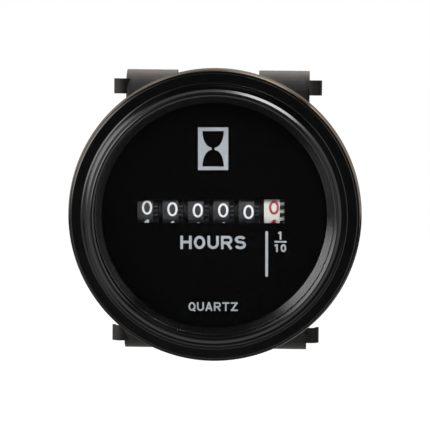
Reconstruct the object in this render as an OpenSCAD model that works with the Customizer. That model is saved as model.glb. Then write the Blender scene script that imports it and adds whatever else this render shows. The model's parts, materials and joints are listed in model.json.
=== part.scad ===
// Round panel hour meter: a glazed bezel, a six-wheel counter driven by a small
// stepper movement, a cup case with two blade terminals and a slide-on panel clamp.
// Every piece is drawn in the dial's frame, x right, y up and z towards the reader,
// with z = 0 on the panel's front face, and is then stood up to face -Y.

/* [Panel] */
// Diameter of the round hole in the panel
panel_hole_d = 52; // [50.5:0.5:53]
// Gap between the case and the hole, on each side
panel_gap = 0.2; // [0.1:0.05:0.4]

/* [Bezel] */
// Diameter over the bead at the back of the bezel
bezel_d = 58.7; // [57.5:0.1:62]
// Wall of the skirt, the front band and the back lip
bezel_wall = 0.6; // [0.4:0.05:0.8]
// How far the back bead stands out from the skirt
bead_h = 0.25; // [0.1:0.05:0.4]
// Radius of the bead's section
bead_round = 0.45; // [0.3:0.05:0.6]
// How far the skirt leans in from the bead to the front
skirt_lean = 0.3; // [0:0.05:0.4]
// Width of the rounding at the front edge
bezel_edge = 0.5; // [0.2:0.05:0.8]
// Width of the flat front band
band_w = 1.9; // [1.2:0.05:2.4]
// Width of the shallow cove between the flat band and the slope
cove = 0.38; // [0.2:0.02:0.6]
// Width of the rounded slope that rises to the crest
slope_w = 0.9; // [0.7:0.05:1.4]
// Angle of the slope at its foot
slope_deg = 48; // [44:1:52]
// Width of the crest's nearly flat land
crest_w = 0.5; // [0.3:0.05:0.8]
// Width of the fine rim that stands on the crest's inner edge
rim_line_w = 0.24; // [0.1:0.02:0.4]
// Width of the rounding inside the crest
lip_bevel_w = 0.55; // [0.2:0.05:0.7]

/* [Lens and dial] */
// Thickness of the lens
lens_t = 1.6; // [1:0.1:2.4]
// Thickness of the gasket under the lens
gasket_t = 0.6; // [0.4:0.1:1]
// Depth of the dial's face below the back of the lens
dial_recess = 3.8; // [3:0.1:5]
// Thickness of the dial plate
dial_t = 0.6; // [0.4:0.1:1]
// Width of the dial ring's land behind the lens
ring_land_w = 1.05; // [0.6:0.05:1.4]
// Width of the dial ring's inward bevel
ring_slope_w = 1.35; // [0.6:0.05:1.8]
// Height of the counter's window
window_h = 4.75; // [4:0.05:5.6]
// How much narrower the window is than the row of wheels
window_trim = 0.7; // [0.2:0.1:1.4]

/* [Case] */
// Wall of the case
case_wall = 1.5; // [1.2:0.1:2]
// Thickness of the case's back
back_t = 2; // [1.4:0.1:3]
// Thickness of the flange under the lens
flange_t = 1.6; // [1.2:0.1:2.4]
// Width of the shoulder that the dial sits on
shoulder_w = 0.6; // [0.4:0.05:0.8]
// Length of the full-size front stretch that fits the panel hole
spigot_l = 8; // [6:0.5:10]
// How much smaller the rear stretch is, on each side
rear_step = 0.3; // [0.1:0.05:0.4]
// Radius of the rear edge
rear_round = 2; // [1:0.1:3]
// Width of the two ratchet racks
rack_w = 8; // [6:0.5:10]
// Distance between rack teeth
rack_pitch = 1.5; // [1:0.1:2.5]
// Space between the circuit board and the case's back
board_gap = 2.4; // [2:0.1:4]

/* [Terminals] */
// Width of a blade
blade_w = 6.3; // [4.8:0.1:6.3]
// Thickness of a blade
blade_t = 0.8; // [0.5:0.1:1]
// Length of a blade behind its plinth
blade_l = 8; // [6:0.5:12]
// Distance between the blades
blade_gap = 14; // [11:0.5:18]

/* [Counter] */
// Distance from the dial's centre to the middle of the row of digits, to the right
counter_x = -0.9; // [-1:0.02:1]
// Height of the wheels' axis above the dial's centre
counter_y = 0.7; // [-1:0.1:1.5]
// Distance from one number wheel to the next
wheel_pitch = 5.1; // [4.9:0.02:5.3]
// Radius of a number wheel's rim
wheel_r = 6.2; // [5.8:0.1:6.6]
// Width of a rim
rim_w = 3.15; // [2.8:0.05:3.3]
// Part of the rim that lies to the right of the digit's middle
rim_right = 1.15; // [1:0.05:1.5]
// Width of the gear beside a rim
wheel_gear_w = 0.95; // [0.7:0.05:1.05]
// Radius of the shaft that the number wheels turn on
wheel_shaft_r = 0.75; // [0.5:0.05:1]
// Radius of the shaft that the transfer pinions turn on
pinion_shaft_r = 0.5; // [0.4:0.05:0.6]

/* [Gear train] */
// Module of the drive gear's large wheel
drive_module = 0.3; // [0.26:0.01:0.32]
// Module of the idler gear's large wheel
idler_module = 0.25; // [0.22:0.01:0.28]
// Width of a large wheel's teeth
train_w = 0.8; // [0.6:0.1:1]
// Radius of the fixed arbors
arbor_r = 0.4; // [0.3:0.05:0.45]
// Thickness of the gear plate
plate_t = 0.8; // [0.6:0.1:1]

/* [Movement] */
// Thickness of the frame's side walls
wall_t = 1.2; // [1:0.1:1.6]
// Half the height of the side walls
wall_half = 13; // [12:0.5:14]
// Radius of the rotor's magnet
magnet_r = 2; // [1.6:0.1:2.2]
// Length of the rotor's magnet
magnet_l = 2.4; // [1.6:0.1:3]
// Thickness of the stator
stator_t = 1; // [0.6:0.1:1.4]
// Radius of the coil's winding
coil_r = 2.4; // [1.8:0.1:2.6]
// Thickness of the circuit board
board_t = 1.6; // [1:0.1:2]

/* [Clamp] */
// Distance from the panel's front face to the clamp, as it stands
clamp_gap = 11; // [8:0.5:16]
// Width of the clamp's front plate
clamp_w = 37.6; // [34:0.2:42]
// Height of the clamp's front plate
clamp_h = 57.8; // [57:0.2:62]
// Wall of the front plate and its two returns
clamp_t = 1.6; // [1.2:0.1:2.2]
// Depth of the returns
return_d = 7; // [6:0.5:9]
// Radius of the bend between the plate and a return
bend_r = 5; // [3:0.1:5.5]
// Radius of the plate's side edges
side_round = 0.8; // [0.3:0.1:1.2]
// How far the clamp has turned on the case, in degrees
clamp_turn = 0.6; // [0:0.1:1.5]
// Wall of the ring that slides on the case
ring_wall = 1.8; // [1.6:0.1:2.6]
// Length of the ring
ring_l = 11; // [9:0.5:13]
// Gap between the ring and the case
ring_gap = 0.25; // [0.15:0.05:0.4]
// How far an ear stands out from the plate
ear_out = 2.55; // [2:0.05:3.4]
// Height of an ear
ear_h = 3.1; // [2:0.1:4]
// Thickness of an ear's leaf
ear_t = 0.7; // [0.5:0.1:0.9]
// Distance from the plate's end to the ear
ear_inset = 1.9; // [1:0.1:4]

/* [Hidden] */
$fn = 96;

// Clearances: bores on shafts, seats between fixed pieces, faces that pass each other
run_gap = 0.05;
seat_gap = 0.1;
pass_gap = 0.1;
// A small overlap that lets a cut run clean through a face
cut = 0.5;
// Space between the case and the bezel's back lip
back_lip_gap = 1.1;
// Angles off the dial's plane, of the bezel's front from the lip outwards; negative ones face the dial
LIP_DEG = [-42, -25];
RIM_LINE_DEG = 35;
CREST_DEG = 12;
SLOPE_TOP_DEG = 34;
COVE_END_DEG = 25;
EDGE_DEG = [25, 52];
// Angle of the dial ring's bevel
BEVEL_DEG = 35;

// Gear tooth proportions: heights in modules, half widths as a share of the tooth pitch
TOOTH_TOP = 0.9;
TOOTH_FOOT = 1.2;
WHEEL_TOOTH = [0.27, 0.21, 0.10];
PINION_TOOTH = [0.20, 0.21, 0.09];
PINION_TEETH = 8;
COUNTER_TEETH = 20;
TRAIN_TEETH = 32;
// Share of a rack tooth's pitch that its ramp takes, and of a screw head that lies below its slot
RACK_RAMP = 0.8;
SLOT_FLOOR = 0.6;

// Radii, from the panel hole outwards and inwards
case_r = panel_hole_d / 2 - panel_gap;
rear_r = case_r - rear_step;
bore_r = case_r - case_wall;
seat_r = bore_r + shoulder_w;
dial_r = seat_r - seat_gap;
bezel_r = bezel_d / 2;
skirt_r = bezel_r - bead_h;
lens_r = skirt_r - bezel_wall - 2 * seat_gap;
back_lip_r = case_r + back_lip_gap;
edge_r = skirt_r - skirt_lean;
band_r = edge_r - bezel_edge;
foot_r = band_r - band_w;
cove_r = foot_r - cove;
crest_r = cove_r - slope_w;
rim_line_r = crest_r - crest_w;
ridge_r = rim_line_r - rim_line_w;
lip_r = ridge_r - lip_bevel_w;
land_r = dial_r - ring_land_w;
inner_r = bore_r - 2 * seat_gap;

// Levels, from the panel's front face towards the reader
flange_z = bezel_wall + flange_t;
gasket_z = flange_z + gasket_t;
lens_z = gasket_z + lens_t;
band_z = lens_z + bezel_wall;
cove_z = band_z + fall(cove, slope_deg, COVE_END_DEG);
crest_z = cove_z + fall(slope_w, SLOPE_TOP_DEG, slope_deg);
rim_line_z = crest_z + fall(crest_w, CREST_DEG, CREST_DEG);
ridge_z = rim_line_z + fall(rim_line_w, RIM_LINE_DEG, RIM_LINE_DEG);
lip_z = ridge_z + fall(lip_bevel_w, LIP_DEG[0], LIP_DEG[1]);
dial_z = gasket_z - dial_recess;
dial_back_z = dial_z - dial_t;

// The row of number wheels, most significant on the left
WHEELS = ["wheel_ten_thousands", "wheel_thousands", "wheel_hundreds", "wheel_tens", "wheel_units",
    "wheel_tenths"];
PINIONS = ["pinion_ten_thousands", "pinion_thousands", "pinion_hundreds", "pinion_tens", "pinion_units"];
LAST = len(WHEELS) - 1;
rim_left = rim_w - rim_right;
gear_right = rim_right + wheel_gear_w;
carry_w = wheel_pitch - rim_w - wheel_gear_w - pass_gap;
dial_gap = 0.3;
rim_clear = 0.3;
axis_y = counter_y;
axis_z = dial_back_z - dial_gap - wheel_r;
function wheel_x(i) = counter_x + (i - LAST / 2) * wheel_pitch;
row_left = wheel_x(0) - rim_left - carry_w;
row_right = wheel_x(LAST) + gear_right;
window_x = (wheel_x(0) - rim_left + row_right) / 2;
window_w = row_right - wheel_x(0) + rim_left - window_trim + 2 * dial_gap;

// Gear centres in the plane across the wheels' shaft, as [y, z]
function polar(r, a) = r * [cos(a), sin(a)];
function pitch_r(teeth, module_mm) = teeth * module_mm / 2;
function tip_r(teeth, module_mm) = pitch_r(teeth, module_mm) + TOOTH_TOP * module_mm;
function root_r(teeth, module_mm) = pitch_r(teeth, module_mm) - TOOTH_FOOT * module_mm;
function centre_gap(big, module_mm) = pitch_r(big + PINION_TEETH, module_mm);
PINION_DIR = -135;
DRIVE_DIR = -70;
IDLER_DIR = -110;
ROTOR_DIR = -102;
counter_gap = wheel_r + pinion_shaft_r + rim_clear;
counter_module = 2 * counter_gap / (COUNTER_TEETH + PINION_TEETH);
wheel_c = [axis_y, axis_z];
pinion_c = wheel_c + polar(counter_gap, PINION_DIR);
drive_c = wheel_c + polar(counter_gap, DRIVE_DIR);
idler_c = drive_c + polar(centre_gap(TRAIN_TEETH, drive_module), IDLER_DIR);
rotor_c = idler_c + polar(centre_gap(TRAIN_TEETH, idler_module), ROTOR_DIR);
carry_tip_r = counter_gap - tip_r(PINION_TEETH, counter_module) - rim_clear;
carry_tooth_h = 0.6;
carry_r = carry_tip_r - carry_tooth_h;
carry_tooth_w = 0.7;
CARRY_STEP = 9;

// Frame and gear plate, along x
end_gap = 0.4;
left_wall_x = row_left - end_gap - wall_t;
right_wall_x = row_right + end_gap;
train_x = right_wall_x + wall_t;
train_gap = 1;
drive_wheel_x = train_x + train_gap / 2;
idler_wheel_x = drive_wheel_x + train_w + train_gap;
plate_x = idler_wheel_x + train_w + train_gap;
pinion_side = 0.2;
drive_pinion_x = wheel_x(LAST) + rim_right + pass_gap;
plate_half = 11;
pillar_y = 7.5;
pillar_r = 1.3;
boss_r = 1.8;
boss_y = 9;
screw_r = 0.75;
screw_head_r = 1.5;
screw_head_h = 0.9;
screw_grip = 3.8;

// Stator loop across the rotor, and the coil on its forward limb
stator_half = 10;
limb_w = 2.5;
air_gap = 0.4;
pole_wall = 0.3;
rotor_limb_w = 2 * (magnet_r + air_gap + pole_wall);
coil_room = 1.1;
coil_z = rotor_c[1] + rotor_limb_w / 2 + coil_r + coil_room;
core_w = 2;
stator_stand = 3;
stator_x = right_wall_x - stator_stand - stator_t;
bobbin_half = 6;
bobbin_flange = 0.6;
bobbin_wall = 0.4;
bobbin_rim = 0.2;
magnet_x = stator_x + (stator_t - magnet_l) / 2;
// Radius of the bobbin's barrel, just outside the corners of the stator's core
barrel_r = norm([stator_t / 2, core_w / 2]) + seat_gap + bobbin_wall;

// Circuit board and the case's back
board_room = 1.6;
board_z = rotor_c[1] - rotor_limb_w / 2 - board_room;
board_back_z = board_z - board_t;
floor_z = board_back_z - board_gap;
back_z = floor_z - back_t;
plinth_h = 1.2;
plinth_rim = 1.4;
blade_x = blade_gap / 2;
rack_floor = 0.7;
rack_tooth = 0.4;
rack_front_z = -spigot_l - 1;
rack_back_z = back_z + rear_round;
pawl_gap = 0.3;

// Pieces on the circuit board: the crystal's can, the capacitor's can, the chip and its leads
crystal_x = 4;
crystal_y = 7;
crystal_r = 1.5;
crystal_l = 8;
capacitor_x = 10;
capacitor_y = 7.5;
capacitor_r = 2.5;
capacitor_h = 7;
chip_w = 6;
chip_d = 4;
chip_h = 1.5;
chip_gap = 1;
lead_w = 0.4;
lead_l = 1;
lead_t = 0.25;
lead_pitch = 1.27;

// The gear plate's pillars and the frame's screw bosses
front_pillar_rise = 2.1;
rear_pillar_drop = 1.7;
front_pillar_z = axis_z + front_pillar_rise;
rear_pillar_z = idler_c[1] - rear_pillar_drop;
boss_l = 5;
boss_x = [left_wall_x - boss_r, train_x + boss_r];

// Clamp
clamp_half = clamp_h / 2;
ring_bore_r = case_r + ring_gap;
pawl_x = rear_r - rack_floor + rack_tooth + pawl_gap;

// Turns the dial's frame upright, so that the dial faces -Y
module facing() {
    rotate([90, 0, 0]) children();
}

// Carries a shape whose own z is an axle to the centre c = [y, z], starting at x
module axle(x, c) {
    translate([x, c[0], c[1]]) rotate([90, 0, 90]) children();
}

// Points on an arc, with its ends
function arc(c, r, from, to, steps = 6) = [for (i = [0:steps]) c + polar(r, from + (to - from) * i / steps)];

// One tooth, from its foot over its tip to its foot, and a whole gear with a tooth at the angle turn
function tooth(teeth, module_mm, half, at) = let (
        step = 360 / teeth,
        r = [root_r(teeth, module_mm), pitch_r(teeth, module_mm), tip_r(teeth, module_mm)]
    ) [for (k = [0:2]) polar(r[k], at - half[k] * step), for (k = [2:-1:0]) polar(r[k], at + half[k] * step)];
function gear_points(teeth, module_mm, half, turn) =
    [for (i = [0:teeth - 1]) each tooth(teeth, module_mm, half, turn + i * 360 / teeth)];

module big_gear(teeth, module_mm, turn, h) {
    linear_extrude(h) polygon(gear_points(teeth, module_mm, WHEEL_TOOTH, turn));
}

// A pinion whose tooth gap faces the gear that lies towards the angle facing_dir + 180
module small_gear(module_mm, facing_dir, h) {
    turn = facing_dir + 180 + 180 / PINION_TEETH;
    linear_extrude(h) polygon(gear_points(PINION_TEETH, module_mm, PINION_TOOTH, turn));
}

module tube(outer, inner, h) {
    difference() {
        cylinder(r = outer, h = h);
        translate([0, 0, -cut]) cylinder(r = inner, h = h + 2 * cut);
    }
}

module bore(r, h) {
    translate([0, 0, -cut]) cylinder(r = r, h = h + 2 * cut);
}

// A stretch of the bezel's front of width w, going out from the point at: its angle off the dial's plane runs
// from a to b, so it is an arc; a is b on a straight stretch
function bow_r(w, a, b) = w / (sin(b) - sin(a));
function fall(w, a, b) = a == b ? w * tan(a) : bow_r(w, a, b) * (cos(a) - cos(b));
function stretch(at, w, a, b, steps = 4) =
    [for (i = [1:steps])
        let (t = a + (b - a) * i / steps) at + bow_r(w, a, b) * [sin(t) - sin(a), cos(t) - cos(a)]];

// Spun ring: rounded lip, fine rim, crest, rounded slope, cove, flat band, rounded edge, skirt and rolled bead
module bezel() {
    bead_top = 40;
    outline = concat(
        [[lip_r, lens_z], [lip_r, lip_z]],
        stretch([lip_r, lip_z], lip_bevel_w, LIP_DEG[0], LIP_DEG[1]),
        [[rim_line_r, rim_line_z], [crest_r, crest_z]],
        stretch([crest_r, crest_z], slope_w, SLOPE_TOP_DEG, slope_deg),
        stretch([cove_r, cove_z], cove, slope_deg, COVE_END_DEG),
        [[band_r, band_z]],
        stretch([band_r, band_z], bezel_edge, EDGE_DEG[0], EDGE_DEG[1]),
        [[skirt_r, 2 * bead_round + bead_h]],
        arc([bezel_r - bead_round, bead_round], bead_round, bead_top, -90),
        [[back_lip_r, 0], [back_lip_r, bezel_wall], [skirt_r - bezel_wall, bezel_wall],
         [skirt_r - bezel_wall, lens_z]]);
    color("#101012") facing() rotate_extrude() polygon(outline);
}

module lens() {
    color("#dfe6ea", 0.3) facing() translate([0, 0, gasket_z]) cylinder(r = lens_r, h = lens_t);
}

module lens_gasket() {
    color("#1b1b1b") facing() translate([0, 0, flange_z]) tube(lens_r, seat_r + shoulder_w, gasket_t);
}

// Ring between the dial and the lens: an upright wall, a bevel that faces in, and a land under the lens
module dial_ring() {
    wall_r = land_r - ring_slope_w;
    color("#121212") facing() rotate_extrude() polygon([
        [dial_r, dial_z], [dial_r, gasket_z], [land_r, gasket_z],
        [wall_r, gasket_z - ring_slope_w * tan(BEVEL_DEG)], [wall_r, dial_z]]);
}

module dial() {
    color("#0c0c0c") facing() translate([0, 0, dial_back_z]) difference() {
        cylinder(r = dial_r, h = dial_t);
        translate([window_x - window_w / 2, axis_y - window_h / 2, -cut])
            cube([window_w, window_h, dial_t + 2 * cut]);
    }
}

// The case's cup, with the flange that the bezel is rolled round
module case_cup() {
    rotate_extrude() polygon(concat(
        [[0, floor_z], [0, back_z]],
        arc([rear_r - rear_round, back_z + rear_round], rear_round, -90, 0),
        [[rear_r, -spigot_l - rear_step], [case_r, -spigot_l], [case_r, bezel_wall], [lens_r, bezel_wall],
         [lens_r, flange_z], [seat_r, flange_z], [seat_r, dial_back_z], [bore_r, dial_back_z],
         [bore_r, floor_z]]));
}

// The pocket and the teeth of one ratchet rack, on the right
module rack_pocket() {
    translate([rear_r - rack_floor, -rack_w / 2, back_z - cut])
        cube([rack_floor + cut, rack_w, rack_front_z - back_z + cut]);
}

module rack_teeth() {
    count = floor((rack_front_z - rack_back_z) / rack_pitch);
    for (i = [0:count - 1])
        translate([rear_r - rack_floor - cut / 5, rack_w / 2, rack_back_z + i * rack_pitch]) rotate([90, 0, 0])
            linear_extrude(rack_w) polygon([[0, 0], [rack_tooth + cut / 5, 0], [0, RACK_RAMP * rack_pitch]]);
}

module case() {
    rest_r = 2;
    color("#161616") facing() {
        difference() {
            union() {
                case_cup();
                for (s = [-1, 1]) translate([s * blade_x, 0, back_z + (cut - plinth_h) / 2])
                    cube([blade_t + 2 * plinth_rim, blade_w + 2 * plinth_rim, plinth_h + cut], center = true);
                for (a = [0:90:270]) rotate(a) translate([bore_r - 2 * rest_r, 0, floor_z - cut])
                    cylinder(r = rest_r, h = board_gap + cut);
            }
            for (a = [0, 180]) rotate(a) rack_pocket();
            for (s = [-1, 1]) translate([s * blade_x - blade_t / 2 - run_gap, -blade_w / 2 - run_gap,
                back_z - plinth_h - cut])
                cube([blade_t + 2 * run_gap, blade_w + 2 * run_gap, plinth_h + back_t + 2 * cut]);
        }
        for (a = [0, 180]) rotate(a) rack_teeth();
    }
}

// A blade with a chamfered tip and a locking hole, its shoulders against the case's floor
module blade(s) {
    tip_z = back_z - plinth_h - blade_l;
    tip_cut = 1;
    shoulder = 1.2;
    lock_hole_r = 0.85;
    color("#c9c6bd") facing() translate([s * blade_x - blade_t / 2, 0, 0]) rotate([90, 0, 90]) difference() {
        linear_extrude(blade_t) polygon([
            [tip_cut - blade_w / 2, tip_z], [blade_w / 2 - tip_cut, tip_z], [blade_w / 2, tip_z + tip_cut],
            [blade_w / 2, floor_z], [blade_w / 2 + shoulder, floor_z],
            [blade_w / 2 + shoulder, floor_z + shoulder], [blade_w / 4, floor_z + shoulder],
            [blade_w / 4, board_z + shoulder], [-blade_w / 4, board_z + shoulder],
            [-blade_w / 4, floor_z + shoulder], [-blade_w / 2 - shoulder, floor_z + shoulder],
            [-blade_w / 2 - shoulder, floor_z], [-blade_w / 2, floor_z], [-blade_w / 2, tip_z + tip_cut]]);
        translate([0, tip_z + blade_w / 2, 0]) bore(lock_hole_r, blade_t);
    }
}

// One number wheel: rim with a hollow side, driven gear on its right, carry ring on its left
module number_wheel(i) {
    rim_wall = 0.6;
    web_t = 0.8;
    turn = i == LAST ? DRIVE_DIR : PINION_DIR;
    from_x = wheel_x(i) - rim_left - carry_w;
    color(i == LAST ? "#dcdad4" : "#1d1d1f") facing() axle(from_x, wheel_c) difference() {
        union() {
            cylinder(r = carry_r, h = carry_w + cut);
            for (a = [-CARRY_STEP, CARRY_STEP]) rotate(PINION_DIR + 180 + a)
                translate([0, -carry_tooth_w / 2, 0]) cube([carry_tip_r, carry_tooth_w, carry_w + cut]);
            translate([0, 0, carry_w]) difference() {
                cylinder(r = wheel_r, h = rim_w);
                translate([0, 0, -cut]) tube(wheel_r - rim_wall, carry_tip_r + rim_clear, rim_w - web_t + cut);
            }
            translate([0, 0, carry_w + rim_w - cut])
                big_gear(COUNTER_TEETH, counter_module, turn, wheel_gear_w + cut);
        }
        bore(wheel_shaft_r + run_gap, wheel_pitch);
    }
}

// Transfer pinion between the wheel i and its right-hand neighbour
module transfer_pinion(i) {
    from_x = wheel_x(i) + rim_right + pass_gap;
    long = wheel_x(i + 1) - rim_left - pass_gap - from_x;
    color("#e8e4d8") facing() axle(from_x, pinion_c) difference() {
        small_gear(counter_module, PINION_DIR, long);
        bore(pinion_shaft_r + run_gap, long);
    }
}

module wheel_shaft() {
    color("#b9bcc0") facing() axle(left_wall_x, wheel_c) cylinder(r = wheel_shaft_r, h = train_x - left_wall_x);
}

module pinion_shaft() {
    color("#b9bcc0") facing() axle(left_wall_x, pinion_c)
        cylinder(r = pinion_shaft_r, h = train_x - left_wall_x);
}

module side_wall(x) {
    intersection() {
        translate([x, -wall_half, board_z]) cube([wall_t, 2 * wall_half, dial_back_z - board_z]);
        translate([0, 0, board_z - cut]) cylinder(r = inner_r, h = dial_back_z - board_z + 2 * cut);
    }
}

// Moulded frame: two side walls, four beams, pillars for the gear plate, posts for the stator, screw bosses
module movement_frame() {
    beam_h = 2;
    beam_d = 3;
    color("#d8d4c6") facing() difference() {
        union() {
            side_wall(left_wall_x);
            side_wall(right_wall_x);
            for (s = [-1, 1], z = [dial_back_z - beam_d, board_z])
                translate([left_wall_x + cut, s * (wall_half - beam_h / 2) - beam_h / 2, z])
                    cube([train_x - left_wall_x - 2 * cut, beam_h, beam_d]);
            for (s = [-1, 1], z = [front_pillar_z, rear_pillar_z])
                axle(train_x - cut, [s * pillar_y, z]) cylinder(r = pillar_r, h = plate_x - train_x + cut);
            for (s = [-1, 1]) axle(stator_x + stator_t, [s * (stator_half - limb_w / 2), rotor_c[1]])
                cylinder(r = limb_w / 2, h = stator_stand + cut);
            for (x = boss_x, s = [-1, 1]) translate([x, s * boss_y, board_z]) {
                cylinder(r = boss_r, h = boss_l);
                translate([x < 0 ? 0 : -boss_r - cut, -boss_r, 0]) cube([boss_r + cut, 2 * boss_r, boss_l]);
            }
        }
        axle(left_wall_x, wheel_c) bore(wheel_shaft_r + run_gap / 2, train_x - left_wall_x);
        axle(left_wall_x, pinion_c) bore(pinion_shaft_r + run_gap / 2, train_x - left_wall_x);
        axle(right_wall_x, drive_c) bore(tip_r(PINION_TEETH, counter_module) + rim_clear, wall_t);
        axle(right_wall_x, idler_c) bore(arbor_r + run_gap / 2, wall_t);
        axle(right_wall_x, rotor_c) bore(arbor_r + run_gap, wall_t);
        for (s = [-1, 1], z = [front_pillar_z, rear_pillar_z])
            axle(plate_x - screw_grip - pass_gap, [s * pillar_y, z])
                cylinder(r = screw_r + run_gap, h = screw_grip + pass_gap + cut);
        for (x = boss_x, s = [-1, 1]) translate([x, s * boss_y, board_z - cut])
            cylinder(r = screw_r + run_gap, h = screw_grip + pass_gap + cut);
    }
}

module gear_plate() {
    margin = 2.5;
    top_z = front_pillar_z + margin;
    low_z = rotor_c[1] - margin;
    color("#c8a95a") facing() difference() {
        intersection() {
            translate([plate_x, -plate_half, low_z]) cube([plate_t, 2 * plate_half, top_z - low_z]);
            translate([0, 0, low_z - cut]) cylinder(r = inner_r, h = top_z - low_z + 2 * cut);
        }
        for (c = [drive_c, idler_c]) axle(plate_x, c) bore(arbor_r + run_gap / 2, plate_t);
        axle(plate_x, rotor_c) bore(arbor_r + run_gap, plate_t);
        for (s = [-1, 1], z = [front_pillar_z, rear_pillar_z])
            axle(plate_x, [s * pillar_y, z]) bore(screw_r + run_gap, plate_t);
    }
}

// The fixed pins that the drive gear and the idler gear turn on
module gear_arbors() {
    color("#b9bcc0") facing() {
        axle(drive_pinion_x, drive_c) cylinder(r = arbor_r, h = plate_x + plate_t - drive_pinion_x);
        axle(right_wall_x, idler_c) cylinder(r = arbor_r, h = plate_x + plate_t - right_wall_x);
    }
}

module drive_gear() {
    from_x = drive_pinion_x;
    to_x = plate_x - pass_gap;
    hub_r = 1.2;
    color("#e8e4d8") facing() difference() {
        union() {
            axle(from_x, drive_c) small_gear(counter_module, DRIVE_DIR, drive_wheel_x - from_x + train_w);
            axle(drive_wheel_x, drive_c) big_gear(TRAIN_TEETH, drive_module, IDLER_DIR, train_w);
            axle(drive_wheel_x, drive_c) cylinder(r = hub_r, h = to_x - drive_wheel_x);
        }
        axle(from_x, drive_c) bore(arbor_r + run_gap, to_x - from_x);
    }
}

module idler_gear() {
    from_x = train_x + pass_gap;
    to_x = plate_x - pass_gap;
    color("#e8e4d8") facing() difference() {
        union() {
            axle(drive_wheel_x - pinion_side, idler_c)
                small_gear(drive_module, IDLER_DIR, train_w + 2 * pinion_side);
            axle(idler_wheel_x, idler_c) big_gear(TRAIN_TEETH, idler_module, ROTOR_DIR, train_w);
            axle(from_x, idler_c) cylinder(r = root_r(PINION_TEETH, drive_module), h = to_x - from_x);
        }
        axle(from_x, idler_c) bore(arbor_r + run_gap, to_x - from_x);
    }
}

module rotor() {
    from_x = magnet_x - pass_gap;
    color("#e8e4d8") facing() {
        axle(from_x, rotor_c) cylinder(r = arbor_r, h = plate_x + plate_t - from_x);
        axle(train_x + pass_gap, rotor_c)
            cylinder(r = root_r(PINION_TEETH, idler_module), h = plate_x - train_x - 2 * pass_gap);
        axle(idler_wheel_x - pinion_side, rotor_c)
            small_gear(idler_module, ROTOR_DIR, train_w + 2 * pinion_side);
    }
}

module rotor_magnet() {
    color("#3a3a3d") facing() axle(magnet_x, rotor_c) tube(magnet_r, arbor_r + run_gap / 2, magnet_l);
}

module stator() {
    low_z = rotor_c[1] - rotor_limb_w / 2;
    bay_z = rotor_c[1] + rotor_limb_w / 2;
    top_z = coil_z + core_w / 2;
    bay_half = stator_half - limb_w;
    color("#8d9096") facing() axle(stator_x, [0, 0]) linear_extrude(stator_t) difference() {
        translate([-stator_half, low_z]) square([2 * stator_half, top_z - low_z]);
        translate([-bay_half, bay_z]) square([2 * bay_half, coil_z - core_w / 2 - bay_z]);
        translate(rotor_c) circle(r = magnet_r + air_gap);
    }
}

// Carries a shape whose own z lies along the coil, starting at the coil's lower end
module on_coil() {
    translate([stator_x + stator_t / 2, -bobbin_half, coil_z]) rotate([-90, 0, 0]) children();
}

module coil_bobbin() {
    color("#efe9d6") facing() on_coil() difference() {
        union() {
            cylinder(r = barrel_r, h = 2 * bobbin_half);
            for (h = [0, 2 * bobbin_half - bobbin_flange]) translate([0, 0, h])
                cylinder(r = coil_r + bobbin_rim, h = bobbin_flange);
        }
        translate([-stator_t / 2 - seat_gap / 2, -core_w / 2 - seat_gap / 2, -cut])
            cube([stator_t + seat_gap, core_w + seat_gap, 2 * bobbin_half + 2 * cut]);
    }
}

module coil_winding() {
    color("#b5653a") facing() on_coil() translate([0, 0, bobbin_flange])
        tube(coil_r, barrel_r, 2 * (bobbin_half - bobbin_flange));
}

module circuit_board() {
    slot = seat_gap;
    color("#2f6b45") facing() translate([0, 0, board_back_z]) difference() {
        cylinder(r = inner_r, h = board_t);
        for (x = boss_x, s = [-1, 1]) translate([x, s * boss_y, 0]) bore(screw_r + run_gap, board_t);
        for (s = [-1, 1]) translate([s * blade_x - blade_t / 2 - slot, -blade_w / 4 - slot, -cut])
            cube([blade_t + 2 * slot, blade_w / 2 + 2 * slot, board_t + 2 * cut]);
    }
}

// Timing crystal in its can, lying on the board
module quartz_crystal() {
    color("#c7c9cc") facing() translate([-crystal_x, crystal_y, board_z + crystal_r]) rotate([0, -90, 0])
        cylinder(r = crystal_r, h = crystal_l);
}

// Divider chip with two rows of leads
module timer_chip() {
    color("#1f1f21") facing() translate([-blade_x - blade_t / 2 - chip_w / 2 - chip_gap, 0, board_z]) {
        translate([-chip_w / 2, -chip_d / 2, lead_t]) cube([chip_w, chip_d, chip_h - lead_t]);
        for (i = [-1.5:1.5], s = [-1, 1])
            translate([i * lead_pitch - lead_w / 2, s * chip_d / 2 - lead_l / 2, 0])
                cube([lead_w, lead_l, 2 * lead_t]);
    }
}

module capacitor() {
    color("#2b3550") facing() translate([-capacitor_x, -capacitor_y, board_z])
        cylinder(r = capacitor_r, h = capacitor_h);
}

// A pan-head screw with a slot, its head resting on z = 0 and its shank running down
module screw(grip) {
    slot_w = 0.4;
    difference() {
        union() {
            cylinder(r = screw_head_r, h = screw_head_h);
            translate([0, 0, -grip]) cylinder(r = screw_r, h = grip + cut / 2);
        }
        translate([-screw_head_r - cut, -slot_w / 2, SLOT_FLOOR * screw_head_h])
            cube([2 * (screw_head_r + cut), slot_w, screw_head_h]);
    }
}

module frame_screws() {
    color("#aeb1b5") facing() for (x = boss_x, s = [-1, 1])
        translate([x, s * boss_y, board_back_z]) rotate([180, 0, 0]) screw(board_t + screw_grip);
}

module plate_screws() {
    color("#aeb1b5") facing() for (s = [-1, 1], z = [front_pillar_z, rear_pillar_z])
        axle(plate_x + plate_t, [s * pillar_y, z]) screw(plate_t + screw_grip);
}

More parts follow.
